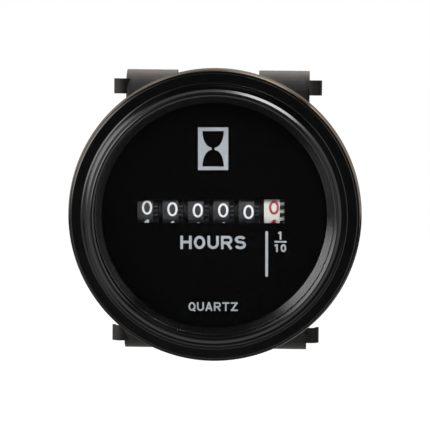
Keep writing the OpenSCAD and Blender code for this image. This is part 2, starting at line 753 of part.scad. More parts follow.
// The clamp's plate, bent back into a return at its top and bottom, with rounded sides
module clamp_plate() {
    bend_y = clamp_half - bend_r;
    bend_in = bend_r - clamp_t;
    side_x = clamp_w / 2 - side_round;
    section = concat(
        [[-clamp_half, -return_d]],
        arc([-bend_y, -bend_r], bend_r, 180, 90, 10),
        arc([bend_y, -bend_r], bend_r, 90, 0, 10),
        [[clamp_half, -return_d], [clamp_half - clamp_t, -return_d]],
        arc([bend_y, -bend_r], bend_in, 0, 90, 6),
        arc([-bend_y, -bend_r], bend_in, 90, 180, 6),
        [[clamp_t - clamp_half, -return_d]]);
    sides = concat(
        [[-clamp_w / 2, -return_d - cut], [clamp_w / 2, -return_d - cut]],
        arc([side_x, -side_round], side_round, 0, 90),
        arc([-side_x, -side_round], side_round, 90, 180));
    intersection() {
        translate([-clamp_w / 2, 0, 0]) rotate([90, 0, 90]) linear_extrude(clamp_w) polygon(section);
        translate([0, clamp_half + cut, 0]) rotate([90, 0, 0]) linear_extrude(clamp_h + 2 * cut) polygon(sides);
    }
}

// A leaf curled about a vertical axis, on the right-hand edge of the plate
module ear() {
    root_lap = 0.2;
    root = side_round + root_lap;
    leg = 0.8;
    curl_r = (ear_out + root) / 2;
    leaf = concat([[curl_r, -leg]], arc([0, 0], curl_r, 0, 180, 14), [[-curl_r, -leg], [ear_t - curl_r, -leg]],
        arc([0, 0], curl_r - ear_t, 180, 0, 14), [[curl_r - ear_t, -leg]]);
    translate([clamp_w / 2 - root + curl_r, ear_h / 2, -curl_r]) rotate([90, 0, 0])
        linear_extrude(ear_h) polygon(leaf);
}

// A rib that ties a return to the ring
module gusset() {
    rib_t = 1.2;
    rib_slope = 1;
    foot = ring_bore_r - ring_wall;
    translate([-rib_t / 2, 0, 0]) rotate([90, 0, 90]) linear_extrude(rib_t) polygon(concat(
        [[foot, -clamp_t / 2]],
        arc([clamp_half - bend_r, -bend_r], bend_r - clamp_t / 2, 90, 0),
        [[clamp_half - clamp_t / 2, rib_slope - return_d], [foot, -return_d]]));
}

// Clamp: its plate, its ring on the case, two ratchet tongues and four curled ears
module clamp_bracket() {
    ear_y = clamp_half - ear_inset - ear_h / 2;
    gusset_x = clamp_w / 3;
    slit = 0.8;
    slit_l = 7;
    pawl_w = rack_w - 2;
    pawl_l = 1.2;
    color("#2a2b2c") facing() translate([0, 0, -clamp_gap]) rotate(-clamp_turn) {
        difference() {
            union() {
                clamp_plate();
                translate([0, 0, -ring_l]) cylinder(r = ring_bore_r + ring_wall, h = ring_l);
                for (sx = [0, 1], sy = [0, 1]) mirror([sx, 0, 0]) mirror([0, sy, 0]) {
                    translate([0, ear_y, 0]) ear();
                    translate([gusset_x, 0, 0]) gusset();
                }
            }
            translate([0, 0, -ring_l]) bore(ring_bore_r, ring_l);
            for (sx = [0, 1], sy = [-1, 1]) mirror([sx, 0, 0])
                translate([ring_bore_r - ring_wall, sy * (rack_w + slit) / 2 - slit / 2, -ring_l - cut])
                    cube([3 * ring_wall, slit, slit_l + cut]);
        }
        for (sx = [0, 1]) mirror([sx, 0, 0]) translate([0, pawl_w / 2, -ring_l]) rotate([90, 0, 0])
            linear_extrude(pawl_w) polygon([[pawl_x, 0], [ring_bore_r + ring_wall / 2, 0],
                [ring_bore_r + ring_wall / 2, 2 * pawl_l], [ring_bore_r, 2 * pawl_l], [pawl_x, pawl_l / 2]]);
    }
}

bezel();
lens();
lens_gasket();
dial_ring();
dial();
case();
blade(1);  // terminal_positive
blade(-1);  // terminal_negative
movement_frame();
gear_plate();
gear_arbors();
wheel_shaft();
pinion_shaft();
drive_gear();
idler_gear();
rotor();
rotor_magnet();
stator();
coil_bobbin();
coil_winding();
circuit_board();
quartz_crystal();
timer_chip();
capacitor();
frame_screws();
plate_screws();
clamp_bracket();
for (i = [0:LAST]) number_wheel(i);
for (i = [0:LAST - 1]) transfer_pinion(i);
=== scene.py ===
"""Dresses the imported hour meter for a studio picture.

Lengths are millimetres in the dial's own frame: x right, y up, z towards the reader, with z = 0 on the
panel's front face. to_row() turns them into the metres of the CAD frame, where the dial faces -Y.
"""

import json
import logging
import math
from collections.abc import Callable
from dataclasses import dataclass, field
from enum import Enum
from functools import partial

import bpy
import numpy as np
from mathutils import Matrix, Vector

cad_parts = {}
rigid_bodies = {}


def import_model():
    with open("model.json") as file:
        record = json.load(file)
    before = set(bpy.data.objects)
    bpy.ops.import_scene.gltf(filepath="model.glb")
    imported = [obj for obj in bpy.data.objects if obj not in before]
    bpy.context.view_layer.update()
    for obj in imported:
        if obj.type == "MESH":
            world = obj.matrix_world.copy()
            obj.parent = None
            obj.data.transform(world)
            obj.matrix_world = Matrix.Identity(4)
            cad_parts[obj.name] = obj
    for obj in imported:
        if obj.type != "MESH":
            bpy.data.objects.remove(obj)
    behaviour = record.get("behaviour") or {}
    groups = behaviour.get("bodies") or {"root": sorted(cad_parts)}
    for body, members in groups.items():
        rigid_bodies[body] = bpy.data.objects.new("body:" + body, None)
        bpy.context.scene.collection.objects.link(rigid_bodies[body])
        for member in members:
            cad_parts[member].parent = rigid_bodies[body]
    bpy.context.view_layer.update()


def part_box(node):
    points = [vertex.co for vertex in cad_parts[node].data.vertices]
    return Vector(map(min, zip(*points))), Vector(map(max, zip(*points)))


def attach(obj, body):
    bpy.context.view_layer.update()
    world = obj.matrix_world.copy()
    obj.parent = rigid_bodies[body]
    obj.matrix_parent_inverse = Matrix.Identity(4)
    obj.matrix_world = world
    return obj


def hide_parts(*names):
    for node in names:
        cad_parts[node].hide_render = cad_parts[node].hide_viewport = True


MM = 0.001
HOUSING = "housing"
# Edges that turn by more than this are kept sharp
SHARP_DEG = 35.0
# Points of a CAD mesh that are nearer than this, in metres, are one
WELD_M = 1e-6
# Where a finish's two tones lie on its noise, which runs from 0 to 1
TONES_AT = (0.3, 0.7)
LOG = logging.getLogger("hour_meter")

# A node's output, or a plain value in its place
Level = bpy.types.NodeSocket | float
# Stops of a ramp: an angle in degrees and the level there
Stops = tuple[tuple[float, float], ...]


class Ends(Enum):
    """How a stroke of ink ends: cut square, or closed on itself."""

    SQUARE = "square"
    RING = "ring"


def linear(colour: str) -> tuple[float, float, float, float]:
    """Turns an sRGB hex colour into linear RGBA.

    Args:
        colour: "#rrggbb".

    Returns:
        The linear red, green, blue and an alpha of 1.
    """
    srgb = np.array([int(colour[i:i + 2], 16) for i in (1, 3, 5)]) / 255
    rgb = np.where(srgb <= 0.04045, srgb / 12.92, ((srgb + 0.055) / 1.055) ** 2.4)
    return (float(rgb[0]), float(rgb[1]), float(rgb[2]), 1.0)


def add_node(tree: bpy.types.NodeTree, kind: str, settings: dict | None = None,
             inputs: dict | None = None) -> bpy.types.Node:
    """Adds a node with its settings, and links or fills its inputs.

    Args:
        tree: the tree that gets the node.
        kind: the node's type.
        settings: attributes of the node.
        inputs: by input name or number, a socket to link or a value to set.

    Returns:
        The new node.
    """
    node = tree.nodes.new(kind)
    for key, value in (settings or {}).items():
        setattr(node, key, value)
    for key, value in (inputs or {}).items():
        if isinstance(value, bpy.types.NodeSocket):
            tree.links.new(value, node.inputs[key])
        else:
            node.inputs[key].default_value = value
    return node


def combine(tree: bpy.types.NodeTree, operation: str, a: Level, b: Level) -> bpy.types.NodeSocket:
    """Joins two levels by a Math node.

    Args:
        tree: the tree that gets the node.
        operation: what the node does.
        a: the first level.
        b: the second level.

    Returns:
        The node's output.
    """
    return add_node(tree, "ShaderNodeMath", {"operation": operation}, {0: a, 1: b}).outputs[0]


def graded(tree: bpy.types.NodeTree, value: bpy.types.NodeSocket, stops: Stops,
           place: Callable[[float], float]) -> bpy.types.NodeSocket:
    """Reads a level off a ramp.

    Args:
        tree: the tree that gets the ramp.
        value: where on the ramp to read, from 0 to 1.
        stops: angles and the levels there.
        place: takes an angle to its place on the ramp.

    Returns:
        The level.
    """
    ramp = add_node(tree, "ShaderNodeValToRGB", inputs={"Fac": value})
    for _ in stops[2:]:
        ramp.color_ramp.elements.new(0.5)
    for stop, (angle, level) in zip(ramp.color_ramp.elements, stops):
        stop.position = place(angle)
        stop.color = (level, level, level, 1.0)
    return ramp.outputs["Color"]


def blank_tree(owner: bpy.types.Material | bpy.types.World) -> bpy.types.NodeTree:
    """Switches a new material's or world's nodes on and clears them.

    Args:
        owner: the material or world.

    Returns:
        Its empty tree.
    """
    owner.use_nodes = True
    owner.node_tree.nodes.clear()
    return owner.node_tree


def per_metre(size_mm: float) -> float:
    """The texture scale whose features are about size_mm across.

    Args:
        size_mm: the features' width.

    Returns:
        How many of them a metre holds.
    """
    return 1 / (size_mm * MM)


@dataclass(frozen=True)
class Finish:
    """One real material: its colours, its gloss and the fine unevenness of its surface."""

    name: str
    colour: str
    tint: str
    roughness: float
    rough_spread: float = 0.05
    metallic: float = 0.0
    ior: float = 1.5
    patch_mm: float = 2.0
    grain_mm: float = 0.25
    grain_depth_mm: float = 0.004
    stretch: tuple[float, float, float] = (1.0, 1.0, 1.0)

    def material(self) -> bpy.types.Material:
        """Two close tones in soft patches, gloss that varies with them, and a fine grain as bump.

        Returns:
            The material, made on the first call.
        """
        made = bpy.data.materials.get(self.name)
        if made is not None:
            return made
        made = bpy.data.materials.new(self.name)
        tree = blank_tree(made)
        place = add_node(tree, "ShaderNodeTexCoord").outputs["Object"]
        place = add_node(tree, "ShaderNodeMapping", inputs={"Vector": place, "Scale": self.stretch}).outputs[0]
        patches = add_node(tree, "ShaderNodeTexNoise",
                           inputs={"Vector": place, "Scale": per_metre(self.patch_mm), "Detail": 4.0})
        grain = add_node(tree, "ShaderNodeTexNoise",
                         inputs={"Vector": place, "Scale": per_metre(self.grain_mm), "Detail": 2.0})
        tones = add_node(tree, "ShaderNodeValToRGB", inputs={"Fac": patches.outputs["Fac"]})
        for stop, position, colour in zip(tones.color_ramp.elements, TONES_AT, (self.colour, self.tint)):
            stop.position = position
            stop.color = linear(colour)
        gloss = add_node(tree, "ShaderNodeMapRange", inputs={
            "Value": patches.outputs["Fac"], "From Min": TONES_AT[0], "From Max": TONES_AT[1],
            "To Min": self.roughness - self.rough_spread, "To Max": self.roughness + self.rough_spread})
        bump = add_node(tree, "ShaderNodeBump", inputs={
            "Height": grain.outputs["Fac"], "Strength": 1.0, "Distance": self.grain_depth_mm * MM})
        shader = add_node(tree, "ShaderNodeBsdfPrincipled", inputs={
            "Base Color": tones.outputs["Color"], "Roughness": gloss.outputs["Result"],
            "Normal": bump.outputs["Normal"], "Metallic": self.metallic, "IOR": self.ior})
        add_node(tree, "ShaderNodeOutputMaterial", inputs={"Surface": shader.outputs[0]})
        return made


@dataclass(frozen=True)
class ClearSheet:
    """Polished clear acrylic, which lets the lamps light what lies behind it."""

    name: str
    colour: str = "#fcfdfd"
    ior: float = 1.49
    roughness: float = 0.02

    def material(self) -> bpy.types.Material:
        """Refracts for the eye, and lets the lamps and what the pieces behind mirror straight through.

        Returns:
            The material.
        """
        made = bpy.data.materials.new(self.name)
        tree = blank_tree(made)
        rays = add_node(tree, "ShaderNodeLightPath").outputs
        mirrored = combine(tree, "SUBTRACT", rays["Is Glossy Ray"], rays["Is Transmission Ray"])
        straight = combine(tree, "MAXIMUM", rays["Is Shadow Ray"], mirrored)
        body = add_node(tree, "ShaderNodeBsdfPrincipled", inputs={
            "Base Color": linear(self.colour), "Roughness": self.roughness, "IOR": self.ior,
            "Transmission Weight": 1.0})
        through = add_node(tree, "ShaderNodeBsdfTransparent")
        mixed = add_node(tree, "ShaderNodeMixShader", inputs={
            0: straight, 1: body.outputs[0], 2: through.outputs[0]})
        add_node(tree, "ShaderNodeOutputMaterial", inputs={"Surface": mixed.outputs[0]})
        return made


# Spun steel in black stoving enamel: a deep gloss with a slight orange peel
BEZEL_ENAMEL = Finish("black_stoving_enamel", "#060606", "#080808", 0.16, 0.01, grain_mm=0.5,
                      grain_depth_mm=0.0012)
# Flat black screen paint on the dial: no gloss at all
DIAL_PAINT = Finish("flat_black_dial_paint", "#030303", "#050505", 0.85, 0.05, ior=1.1, grain_mm=0.15,
                    grain_depth_mm=0.002)
# Moulded black polystyrene of the ring round the dial: satin
RING_PLASTIC = Finish("satin_black_ring_plastic", "#050506", "#070708", 0.16, 0.01, ior=1.52, grain_mm=0.3,
                      grain_depth_mm=0.00015)
# Screen-printed silver-grey ink: even, slightly dull
SILVER_INK = Finish("silver_screen_ink", "#a7abb1", "#b1b5bb", 0.6, 0.05, grain_mm=0.12, grain_depth_mm=0.003)
# Moulded acetal number wheels; the black ones are mottled
BLACK_WHEEL = Finish("black_acetal_wheel", "#0e0e10", "#303034", 0.45, 0.06, patch_mm=0.6)
WHITE_WHEEL = Finish("ivory_acetal_wheel", "#d9d7d0", "#e2e0da", 0.45, 0.05)
# Hot-stamped figures
WHITE_FOIL = Finish("white_stamping_foil", "#ececf0", "#f2f2f5", 0.45, 0.05)
RED_FOIL = Finish("red_stamping_foil", "#9c2f3c", "#a83a46", 0.45, 0.05)
# Glass-filled dark grey nylon of the clamp: satin with a fine moulded grain
CLAMP_NYLON = Finish("glass_filled_grey_nylon", "#444240", "#4e4c4a", 0.48, 0.03, ior=1.23, grain_mm=0.35,
                     grain_depth_mm=0.004)
# Black phenolic case, moulded, half gloss
CASE_PHENOLIC = Finish("black_phenolic", "#131314", "#1a1a1b", 0.36, 0.06, grain_mm=0.4, grain_depth_mm=0.006)
GASKET_RUBBER = Finish("black_nitrile_rubber", "#161616", "#1d1d1d", 0.8)
TIN_PLATE = Finish("tinned_brass", "#c4c2ba", "#d2d0c8", 0.32, 0.06, metallic=1.0, stretch=(1.0, 0.2, 1.0))
FRAME_IVORY = Finish("ivory_abs", "#d4cfbf", "#dcd8ca", 0.5)
PLATE_BRASS = Finish("rolled_brass", "#c2a055", "#cdae66", 0.3, metallic=1.0, stretch=(1.0, 0.15, 1.0))
SHAFT_STEEL = Finish("ground_steel", "#b4b7bb", "#c2c4c8", 0.25, metallic=1.0, stretch=(0.1, 1.0, 1.0))
GEAR_ACETAL = Finish("natural_acetal", "#e4e0d3", "#ece9df", 0.4)
FERRITE = Finish("sintered_ferrite", "#35353a", "#414146", 0.6)
STATOR_STEEL = Finish("annealed_iron", "#85888e", "#94979c", 0.4, metallic=1.0)
BOBBIN_NYLON = Finish("natural_nylon", "#e9e2cf", "#f0eada", 0.45)
COPPER_WIRE = Finish("enamelled_copper_wire", "#a85630", "#bd6a3d", 0.3, metallic=1.0,
                     stretch=(1.0, 1.0, 0.05))
BOARD_MASK = Finish("green_solder_mask", "#28613d", "#31704a", 0.35)
CAN_NICKEL = Finish("nickel_can", "#bfc1c4", "#cccdd0", 0.22, metallic=1.0)
CHIP_EPOXY = Finish("black_epoxy", "#1b1b1d", "#232325", 0.6)
CAN_SLEEVE = Finish("blue_vinyl_sleeve", "#26304a", "#2e3955", 0.4)
SCREW_ZINC = Finish("zinc_plate", "#a8abaf", "#b6b9bc", 0.3, metallic=1.0)
LENS_ACRYLIC = ClearSheet("polished_clear_acrylic")

# Finish of each CAD node that is shown as it is
NODE_FINISHES = {
    "dial": DIAL_PAINT, "case": CASE_PHENOLIC, "lens_gasket": GASKET_RUBBER,
    "terminal_positive": TIN_PLATE, "terminal_negative": TIN_PLATE, "movement_frame": FRAME_IVORY,
    "gear_plate": PLATE_BRASS, "gear_arbors": SHAFT_STEEL, "wheel_shaft": SHAFT_STEEL,
    "pinion_shaft": SHAFT_STEEL, "drive_gear": GEAR_ACETAL, "idler_gear": GEAR_ACETAL, "rotor": GEAR_ACETAL,
    "rotor_magnet": FERRITE, "stator": STATOR_STEEL, "coil_bobbin": BOBBIN_NYLON,
    "coil_winding": COPPER_WIRE, "circuit_board": BOARD_MASK, "quartz_crystal": CAN_NICKEL,
    "timer_chip": CHIP_EPOXY, "capacitor": CAN_SLEEVE, "frame_screws": SCREW_ZINC,
    "plate_screws": SCREW_ZINC, "lens": LENS_ACRYLIC,
}
# CAD nodes whose moulded edges get a small rounding, in mm
SOFT_EDGES = {"case": 0.15, "terminal_positive": 0.08, "terminal_negative": 0.08}


def to_row(points: np.ndarray) -> np.ndarray:
    """Turns dial-frame millimetres into the CAD frame's metres: (x, y, z) becomes (x, -z, y).

    Args:
        points: an array of points, with x, y and z last.

    Returns:
        The same points in metres.
    """
    return np.stack([points[..., 0], -points[..., 2], points[..., 1]], axis=-1) * MM


def grid_faces(rows: int, columns: int, ring_rows: bool, ring_columns: bool) -> np.ndarray:
    """Quads between neighbouring points of a grid, closed round either way where asked.

    Args:
        rows: points along the first parameter.
        columns: points along the second parameter.
        ring_rows: whether the last row joins the first.
        ring_columns: whether the last column joins the first.

    Returns:
        An array of quads, four point numbers each.
    """
    i, j = np.meshgrid(np.arange(rows if ring_rows else rows - 1),
                       np.arange(columns if ring_columns else columns - 1), indexing="ij")
    next_i, next_j = (i + 1) % rows, (j + 1) % columns
    quads = np.stack([i * columns + j, i * columns + next_j,
                      next_i * columns + next_j, next_i * columns + j], axis=-1)
    return quads.reshape(-1, 4)


def quad_mesh(name: str, points: np.ndarray, faces: np.ndarray) -> bpy.types.Mesh:
    """Puts points and quads into a mesh.

    Args:
        name: the mesh's name.
        points: dial-frame millimetres, one row a point.
        faces: quads of point numbers.

    Returns:
        The mesh, in the CAD frame's metres.
    """
    mesh = bpy.data.meshes.new(name)
    mesh.from_pydata(to_row(points).tolist(), [], faces.tolist())
    return mesh


def put_in_scene(name: str, data: bpy.types.ID) -> bpy.types.Object:
    """Adds a new object to the scene.

    Args:
        name: the object's name.
        data: its mesh, lamp or camera.

    Returns:
        The object.
    """
    made = bpy.data.objects.new(name, data)
    bpy.context.scene.collection.objects.link(made)
    return made


def stand_up(name: str, data: bpy.types.ID, place: Vector, back: Vector) -> bpy.types.Object:
    """Puts a lamp or the camera in its place and turns it.

    Args:
        name: the object's name.
        data: its lamp or camera.
        place: where it stands, in metres.
        back: the direction that its back faces.

    Returns:
        The object.
    """
    made = put_in_scene(name, data)
    made.location = place
    made.rotation_mode = "QUATERNION"
    made.rotation_quaternion = (-back).to_track_quat("-Z", "Y")
    return made


def new_piece(name: str, points: np.ndarray, faces: np.ndarray, finish: Finish,
              body: str) -> bpy.types.Object:
    """Puts points and quads into a smooth-shaded piece that rides on a CAD body.

    Args:
        name: the piece's name.
        points: dial-frame millimetres, one row a point.
        faces: quads of point numbers.
        finish: the piece's finish.
        body: the CAD body that carries it.

    Returns:
        The new object.
    """
    mesh = quad_mesh(name, points, faces)
    mesh.polygons.foreach_set("use_smooth", np.ones(len(faces), bool))
    mesh.set_sharp_from_angle(angle=math.radians(SHARP_DEG))
    mesh.materials.append(finish.material())
    piece = put_in_scene(name, mesh)
    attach(piece, body)
    LOG.info("%s: %d points, on %s", name, len(points), body)
    return piece


def arc(centre: tuple[float, float], radius: float, start_deg: float, end_deg: float,
        steps: int = 12) -> np.ndarray:
    """Points on a circle's arc, both ends among them.

    Args:
        centre: the arc's centre.
        radius: its radius.
        start_deg: the angle it starts at.
        end_deg: the angle it ends at.
        steps: how many stretches it has.

    Returns:
        An array of points, two numbers each.
    """
    turn = np.radians(np.linspace(start_deg, end_deg, steps + 1))
    return np.array(centre) + radius * np.stack([np.cos(turn), np.sin(turn)], axis=-1)


def refined(outline: np.ndarray, step: float) -> np.ndarray:
    """A closed outline with points added on its long sides, so that flats shade flat.

    Args:
        outline: the corner points in order.
        step: the longest side wanted.

    Returns:
        The outline with no side longer than step.
    """
    sides = zip(outline, np.roll(outline, -1, axis=0))
    return np.concatenate([
        np.linspace(a, b, max(1, math.ceil(np.linalg.norm(b - a) / step)), endpoint=False) for a, b in sides])


def lathe(outline: np.ndarray, segments: int) -> tuple[np.ndarray, np.ndarray]:
    """Turns a closed outline of (radius, z) points about the dial's axis: (r cos t, r sin t, z).

    Args:
        outline: the section, anticlockwise with the radius to the right and z up.
        segments: how many steps round.

    Returns:
        The points and the quads.
    """
    turn = np.linspace(0, 2 * np.pi, segments, endpoint=False)[:, None]
    radius, level = outline[None, :, 0], outline[None, :, 1]
    points = np.stack([radius * np.cos(turn), radius * np.sin(turn), level + 0 * turn], axis=-1)
    return points.reshape(-1, 3), grid_faces(segments, len(outline), True, True)[:, ::-1]


def eased(corners: np.ndarray, reach: float, steps: int = 4) -> np.ndarray:
    """A closed outline with its corners eased: each becomes a quadratic curve that starts and ends near it.

    Args:
        corners: the sharp outline, two numbers a point.
        reach: how far from a corner its curve starts, limited to a third of the sides beside it.
        steps: how many stretches a curve has.

    Returns:
        The eased outline.
    """
    before, after = np.roll(corners, 1, axis=0) - corners, np.roll(corners, -1, axis=0) - corners
    long_before, long_after = (np.linalg.norm(side, axis=1, keepdims=True) for side in (before, after))
    near = np.minimum(reach, np.minimum(long_before, long_after) / 3)
    start, end = corners + before / long_before * near, corners + after / long_after * near
    t = np.linspace(0, 1, steps + 1)[None, :, None]
    curve = (1 - t) ** 2 * start[:, None] + 2 * t * (1 - t) * corners[:, None] + t ** 2 * end[:, None]
    return curve.reshape(-1, 2)


def turned_piece(name: str, outline: np.ndarray, segments: int, finish: Finish) -> bpy.types.Object:
    """Turns a section into a piece of the housing whose flats shade flat.

    Args:
        name: the piece's name.
        outline: the section, as lathe() takes it.
        segments: how many steps round.
        finish: the piece's finish.

    Returns:
        The new object.
    """
    piece = new_piece(name, *lathe(outline, segments), finish, HOUSING)
    piece.modifiers.new("flats_shade_flat", "WEIGHTED_NORMAL").keep_sharp = True
    return piece


@dataclass(frozen=True)
class Stretch:
    """One stretch of the bezel's front, going out: its width, and its tilt off the dial at both ends."""

    width: float
    start_deg: float
    end_deg: float

    def points(self, start: np.ndarray, steps: int = 6) -> np.ndarray:
        """Runs on from a point: start + k * (sin t - sin a, cos t - cos a), or straight if the tilt stays.

        Args:
            start: the point it starts at, as radius and level.
            steps: how many sides a curved stretch has.

        Returns:
            Its points after the start.
        """
        a, b = math.radians(self.start_deg), math.radians(self.end_deg)
        if a == b:
            return np.array([start + [self.width, -self.width * math.tan(a)]])
        t = np.linspace(a, b, steps + 1)[1:]
        k = self.width / (math.sin(b) - math.sin(a))
        return start + k * np.stack([np.sin(t) - math.sin(a), np.cos(t) - math.cos(a)], axis=-1)


@dataclass
class Bezel:
    """The spun ring, whose front is a lip, a rim, a crest, a slope, a cove, a flat band and an edge."""

    lens_z: float = 4.4
    band_z: float = 5.0
    bead_stands: float = 0.25
    bead_round: float = 0.45
    bead_from_deg: float = 40.0
    skirt_lean: float = 0.3
    lip: Stretch = Stretch(0.55, -25, -42)
    rim: Stretch = Stretch(0.24, 35, 35)
    crest: Stretch = Stretch(0.5, 12, 12)
    slope: Stretch = Stretch(0.9, 34, 48)
    cove: Stretch = Stretch(0.38, 48, 25)
    band: Stretch = Stretch(1.9, 0, 0)
    edge: Stretch = Stretch(0.5, 25, 52)
    wall: float = 0.6
    back_lip_r: float = 26.9
    corner: float = 0.012
    corner_steps: int = 3
    step: float = 0.3
    segments: int = 320

    def outline(self) -> np.ndarray:
        """The section's closed outline, from the lip over the crest and down the skirt to the back lip.

        Returns:
            Points of (radius, z), anticlockwise.
        """
        low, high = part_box("bezel")
        bead_r = (high.x - low.x) / 2 / MM
        skirt_r = bead_r - self.bead_stands
        front = np.zeros((1, 2))
        # The last stretch, the edge, starts at the flat band's level
        for stretch in (self.lip, self.rim, self.crest, self.slope, self.cove, self.band, self.edge):
            band_level = front[-1, 1]
            front = np.concatenate([front, stretch.points(front[-1])])
        front += [skirt_r - self.skirt_lean - front[-1, 0], self.band_z - band_level]
        over = np.concatenate([
            [[front[0, 0], self.lens_z]], front, [[skirt_r, 2 * self.bead_round + self.bead_stands]],
            arc((bead_r - self.bead_round, self.bead_round), self.bead_round, self.bead_from_deg, -90),
            [[self.back_lip_r, 0], [self.back_lip_r, self.wall], [skirt_r - self.wall, self.wall],
             [skirt_r - self.wall, self.lens_z]]])
        return refined(eased(over[::-1], self.corner, self.corner_steps), self.step)

    def build(self) -> None:
        """Turns the section into the ring that stands for the CAD bezel."""
        piece = turned_piece("bezel_ring", self.outline(), self.segments, BEZEL_ENAMEL)
        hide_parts("bezel")


@dataclass
class DialSurround:
    """The ring between the dial and the lens, with a bevel that faces in and forward."""

    land_w: float = 1.05
    slope_w: float = 1.35
    slope_deg: float = 35.0
    corner: float = 0.03
    step: float = 0.3
    segments: int = 320

    def build(self) -> None:
        """Turns the ring's section: an upright wall from the dial, a bevel, and a land under the lens."""
        low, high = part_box("dial_ring")
        outer = (high.x - low.x) / 2 / MM
        front, back = -low.y / MM, -high.y / MM
        land = outer - self.land_w
        inner = land - self.slope_w
        low_edge = front - self.slope_w * math.tan(math.radians(self.slope_deg))
        corners = np.array([[outer, back], [outer, front], [land, front], [inner, low_edge], [inner, back]])
        outline = refined(eased(corners, self.corner), self.step)
        piece = turned_piece("dial_surround", outline, self.segments, RING_PLASTIC)
        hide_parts("dial_ring")


@dataclass(frozen=True)
class Stroke:
    """One stroke of a letter: its middle line in cap heights, and how it ends."""

    line: np.ndarray
    ends: Ends = Ends.SQUARE


def bar(start: tuple[float, float], end: tuple[float, float], steps: int = 6) -> Stroke:
    """A straight stroke.

    Args:
        start: its first point.
        end: its last point.
        steps: how many stretches, so that it can follow a drum.

    Returns:
        The stroke.
    """
    return Stroke(np.linspace(start, end, steps + 1))


def bow(centre: tuple[float, float], half: tuple[float, float], start_deg: float, end_deg: float,
        ends: Ends = Ends.SQUARE, steps: int = 32) -> Stroke:
    """A stroke along an oval: centre + (half width * cos t, half height * sin t).

    Args:
        centre: the oval's centre.
        half: half its width and half its height.
        start_deg: the angle it starts at.
        end_deg: the angle it ends at.
        ends: how it ends.
        steps: how many stretches it has.

    Returns:
        The stroke.
    """
    turn = np.radians(np.linspace(start_deg, end_deg, steps + 1))
    if ends is Ends.RING:
        turn = turn[:-1]
    return Stroke(np.array(centre) + np.stack([half[0] * np.cos(turn), half[1] * np.sin(turn)], axis=-1), ends)


@dataclass
class Alphabet:
    """Plain upright letters and figures, drawn as strokes in units of the cap height.

    The stem and the start of the flag of a 1 are shares of its width.
    """

    stroke: float
    wide: float
    flag: float = 0.14
    stem: float = 0.56

    def glyph(self, sign: str) -> list[Stroke]:
        """The strokes of one sign, in a box from 0 to wide and 0 to 1.

        Args:
            sign: a capital or a figure.

        Returns:
            Its strokes.
        """
        s, w = self.stroke, self.wide
        left, right, low, top, mid = s / 2, w - s / 2, s / 2, 1 - s / 2, w / 2
        oval = ((w - s) / 2, (1 - s) / 2)
        waist = 0.53
        knee = waist - 0.06
        upper, lower = (top - waist) / 2, (waist - low) / 2
        signs: dict[str, list[Stroke]] = {
            "H": [bar((left, 0), (left, 1)), bar((right, 0), (right, 1)), bar((s, waist), (w - s, waist))],
            "O": [bow((mid, 0.5), oval, 0, 360, Ends.RING)],
            "U": [bar((left, 1), (left, oval[0] + low)), bar((right, 1), (right, oval[0] + low)),
                  bow((mid, oval[0] + low), (oval[0], oval[0]), 180, 360)],
            "R": [bar((left, 0), (left, 1)), bar((s, top), (right - upper, top)),
                  bar((s, knee), (right - upper, knee)),
                  bow((right - upper, (top + knee) / 2), (upper, (top - knee) / 2), 90, -90),
                  bar((mid + 0.02, knee), (right + 0.02, 0))],
            "S": [bow((mid, waist + upper), (oval[0] * 0.95, upper), 20, 270),
                  bow((mid, waist - lower), (oval[0], lower), 90, -160)],
            "Q": [bow((mid, 0.5), oval, 0, 360, Ends.RING), bar((mid + 0.06, 0.26), (right + 0.04, -0.02))],
            "A": [bar((left - 0.02, 0), (mid, 1)), bar((right + 0.02, 0), (mid, 1)),
                  bar((0.22 * w, 0.3), (0.78 * w, 0.3))],
            "T": [bar((0, top), (w, top)), bar((mid, 0), (mid, 1 - s))],
            "Z": [bar((0, top), (w, top)), bar((0, low), (w, low)),
                  bar((left + 0.04, low), (right - 0.04, top))],
            "0": [bow((mid, 0.5), oval, 0, 360, Ends.RING)],
            "1": [bar((self.stem * w, 0), (self.stem * w, 1)),
                  bar((self.flag * w, 0.76), (self.stem * w, 1 - s / 3))],
            "2": [bow((mid, 1 - s / 2 - oval[0]), (oval[0], oval[0]), 165, -35),
                  bar((right - 0.06, 0.5), (left, s)), bar((0, low), (w, low))],
            "3": [bow((mid, waist + upper), (oval[0] * 0.9, upper), 160, -90),
                  bow((mid, waist - lower), (oval[0], lower), 90, -160)],
            "4": [bar((0.7 * w, 0), (0.7 * w, 1)), bar((0, 0.28), (w, 0.28)),
                  bar((left, 0.3), (0.66 * w, top))],
            "5": [bar((0.1 * w, top), (0.94 * w, top)), bar((0.18 * w, 1), (0.14 * w, 0.48)),
                  bow((mid, 0.33), (oval[0], 0.33 - low), 140, -150)],
            "6": [bow((mid, 0.33), (oval[0], 0.33 - low), 0, 360, Ends.RING),
                  bow((mid + oval[0], 0.33), (2 * oval[0], top - 0.33), 180, 105)],
            "7": [bar((0, top), (w, top)), bar((right, top), (0.3 * w, 0))],
            "8": [bow((mid, waist + upper), (oval[0] * 0.88, upper), 0, 360, Ends.RING),
                  bow((mid, waist - lower), (oval[0], lower), 0, 360, Ends.RING)],
        }
        if sign == "9":
            return [Stroke(np.array([w, 1.0]) - part.line, part.ends) for part in self.glyph("6")]
        return signs[sign]


Placing = Callable[[np.ndarray, np.ndarray], np.ndarray]


